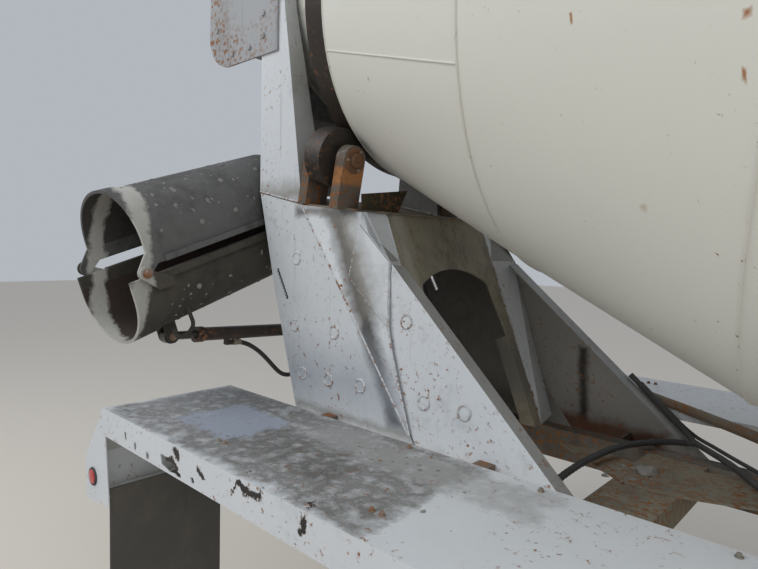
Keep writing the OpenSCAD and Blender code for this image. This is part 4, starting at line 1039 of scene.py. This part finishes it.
def build_stage():
    """Camera, studio light, and a plain floor that takes the shadow."""
    scene = bpy.context.scene
    scene.view_settings.view_transform = "Standard"
    cam = bpy.data.cameras.new("camera")
    cam.sensor_width = 36
    cam.lens = cam.sensor_width * FOCAL / FRAME_W
    cam.clip_start = 0.05
    scene.camera = placed("camera", cam)
    scene.camera.matrix_world = axes(CAMERA_PLACE, CAMERA_RIGHT, CAMERA_UP)
    world = bpy.data.worlds.new("studio")
    world.use_nodes = True
    tree = world.node_tree
    sky = tree.nodes["Background"]
    seen = add(tree, "ShaderNodeLightPath").outputs["Is Camera Ray"]
    tree.links.new(mixed(tree, seen, (0.84, 0.9, 1.0, 1), (0.8, 0.85, 0.92, 1)), sky.inputs[0])
    sky.inputs[1].default_value = 0.56
    scene.world = world
    bm = bmesh.new()
    bmesh.ops.create_grid(bm, x_segments=1, y_segments=1, size=30,
                          matrix=Matrix.Translation((0, 0, FLOOR_Z)))
    floor = placed("floor", mesh_of(bm, "floor"))
    mat, _, shader = new_material("floor")
    shader.inputs["Base Color"].default_value = (0.72, 0.66, 0.57, 1)
    shader.inputs["Roughness"].default_value = 0.95
    floor.data.materials.append(mat)
    for name, place, power in (("key", (-3.5, -6, 6), 285), ("fill", (7, -4, 3.5), 165)):
        light = bpy.data.lights.new(name, "AREA")
        light.size = LIGHT_SIZE
        light.energy = power
        ob = placed(name, light)
        ob.location = place
        aim = LIGHT_AIM - Vector(place)
        ob.rotation_euler = aim.to_track_quat("-Z", "Y").to_euler()


# Operators, panel and registration

class Step:
    bl_options = {"REGISTER", "UNDO"}


class MIXER_OT_stage(Step, bpy.types.Operator):
    """Makes the camera, the floor and the studio lights"""
    bl_idname = "mixer.stage"
    bl_label = "Stage"

    def execute(self, context):
        build_stage()
        return {"FINISHED"}


class MIXER_OT_hose(Step, bpy.types.Operator):
    """Makes the lift cylinder's hose and its fittings"""
    bl_idname = "mixer.hose"
    bl_label = "Lift hose"

    def execute(self, context):
        build_hose()
        return {"FINISHED"}


class MIXER_OT_welds(Step, bpy.types.Operator):
    """Runs weld beads along the pedestal's and the drum's seams"""
    bl_idname = "mixer.welds"
    bl_label = "Weld beads"

    def execute(self, context):
        swept("frame_welds", frame_weld_runs(), "mixer_frame", "white welds", 0.22, 1)
        swept("drum_welds", drum_weld_runs(), "drum", "drum welds", 0.1, 2)
        return {"FINISHED"}


class MIXER_OT_fins(Step, bpy.types.Operator):
    """Winds the mixing fins through the drum's neck"""
    bl_idname = "mixer.fins"
    bl_label = "Neck fins"

    def execute(self, context):
        build_fins()
        return {"FINISHED"}


class MIXER_OT_fasteners(Step, bpy.types.Operator):
    """Makes bolts, pin caps, clamp strips and the chutes' nuts"""
    bl_idname = "mixer.fasteners"
    bl_label = "Fasteners"

    def execute(self, context):
        build_frame_bolts()
        build_pin_caps()
        build_flap_strips()
        build_chute_hardware()
        return {"FINISHED"}


class MIXER_OT_lamps(Step, bpy.types.Operator):
    """Makes the red side lamps"""
    bl_idname = "mixer.lamps"
    bl_label = "Side lamps"

    def execute(self, context):
        build_lamps()
        return {"FINISHED"}


class MIXER_OT_conduit(Step, bpy.types.Operator):
    """Makes the corrugated sleeve over the conduit"""
    bl_idname = "mixer.conduit"
    bl_label = "Conduit sleeve"

    def execute(self, context):
        build_conduit()
        return {"FINISHED"}


class MIXER_OT_crust(Step, bpy.types.Operator):
    """Scatters set concrete over the chutes, the fender and the frame"""
    bl_idname = "mixer.crust"
    bl_label = "Concrete crust"

    def execute(self, context):
        crust("main_chute_crust", "chute_main",
              chute_spots(TROUGH_C, TROUGH_R, MAIN_X0 + 0.1, MAIN_X1 - 0.15, 180, 360, 3), 4)
        crust("fold_chute_crust", "chute_fold",
              chute_spots(FOLD_C, FOLD_R, HINGE_X - FOLD_L, HINGE_X - 0.12, 0, 180, 5), 6)
        crust("frame_crust", "mixer_frame", fender_spots(), 7)
        return {"FINISHED"}


class MIXER_OT_paint(Step, bpy.types.Operator):
    """Gives every node its worn paint, steel, rubber or concrete"""
    bl_idname = "mixer.paint"
    bl_label = "Finishes"

    def execute(self, context):
        paint_pedestal()
        paint_fenders()
        paint_frame()
        paint_drum()
        paint_chutes()
        return {"FINISHED"}


STEPS = (MIXER_OT_stage, MIXER_OT_hose, MIXER_OT_welds, MIXER_OT_fins, MIXER_OT_fasteners,
         MIXER_OT_lamps, MIXER_OT_conduit, MIXER_OT_crust, MIXER_OT_paint)


class MIXER_PT_panel(bpy.types.Panel):
    """Sizes, colours and steps of the mixer body"""
    bl_label = "Concrete mixer body"
    bl_idname = "MIXER_PT_panel"
    bl_space_type = "VIEW_3D"
    bl_region_type = "UI"
    bl_category = "Mixer"

    def draw(self, context):
        for group in (context.scene.mixer_sizes, context.scene.mixer_colours):
            box = self.layout.box()
            for name in group.__annotations__:
                box.prop(group, name)
        for step in STEPS:
            self.layout.operator(step.bl_idname)


CLASSES = (MixerSizes, MixerColours, *STEPS, MIXER_PT_panel)


def register():
    for c in CLASSES:
        bpy.utils.register_class(c)
    bpy.types.Scene.mixer_sizes = PointerProperty(type=MixerSizes)
    bpy.types.Scene.mixer_colours = PointerProperty(type=MixerColours)


def unregister():
    del bpy.types.Scene.mixer_sizes
    del bpy.types.Scene.mixer_colours
    for c in reversed(CLASSES):
        bpy.utils.unregister_class(c)


def main():
    register()
    bpy.ops.mixer.stage()
    bpy.ops.mixer.hose()
    bpy.ops.mixer.welds()
    bpy.ops.mixer.fins()
    bpy.ops.mixer.fasteners()
    bpy.ops.mixer.lamps()
    bpy.ops.mixer.conduit()
    bpy.ops.mixer.crust()
    bpy.ops.mixer.paint()


if __name__ == "__main__":
    main()
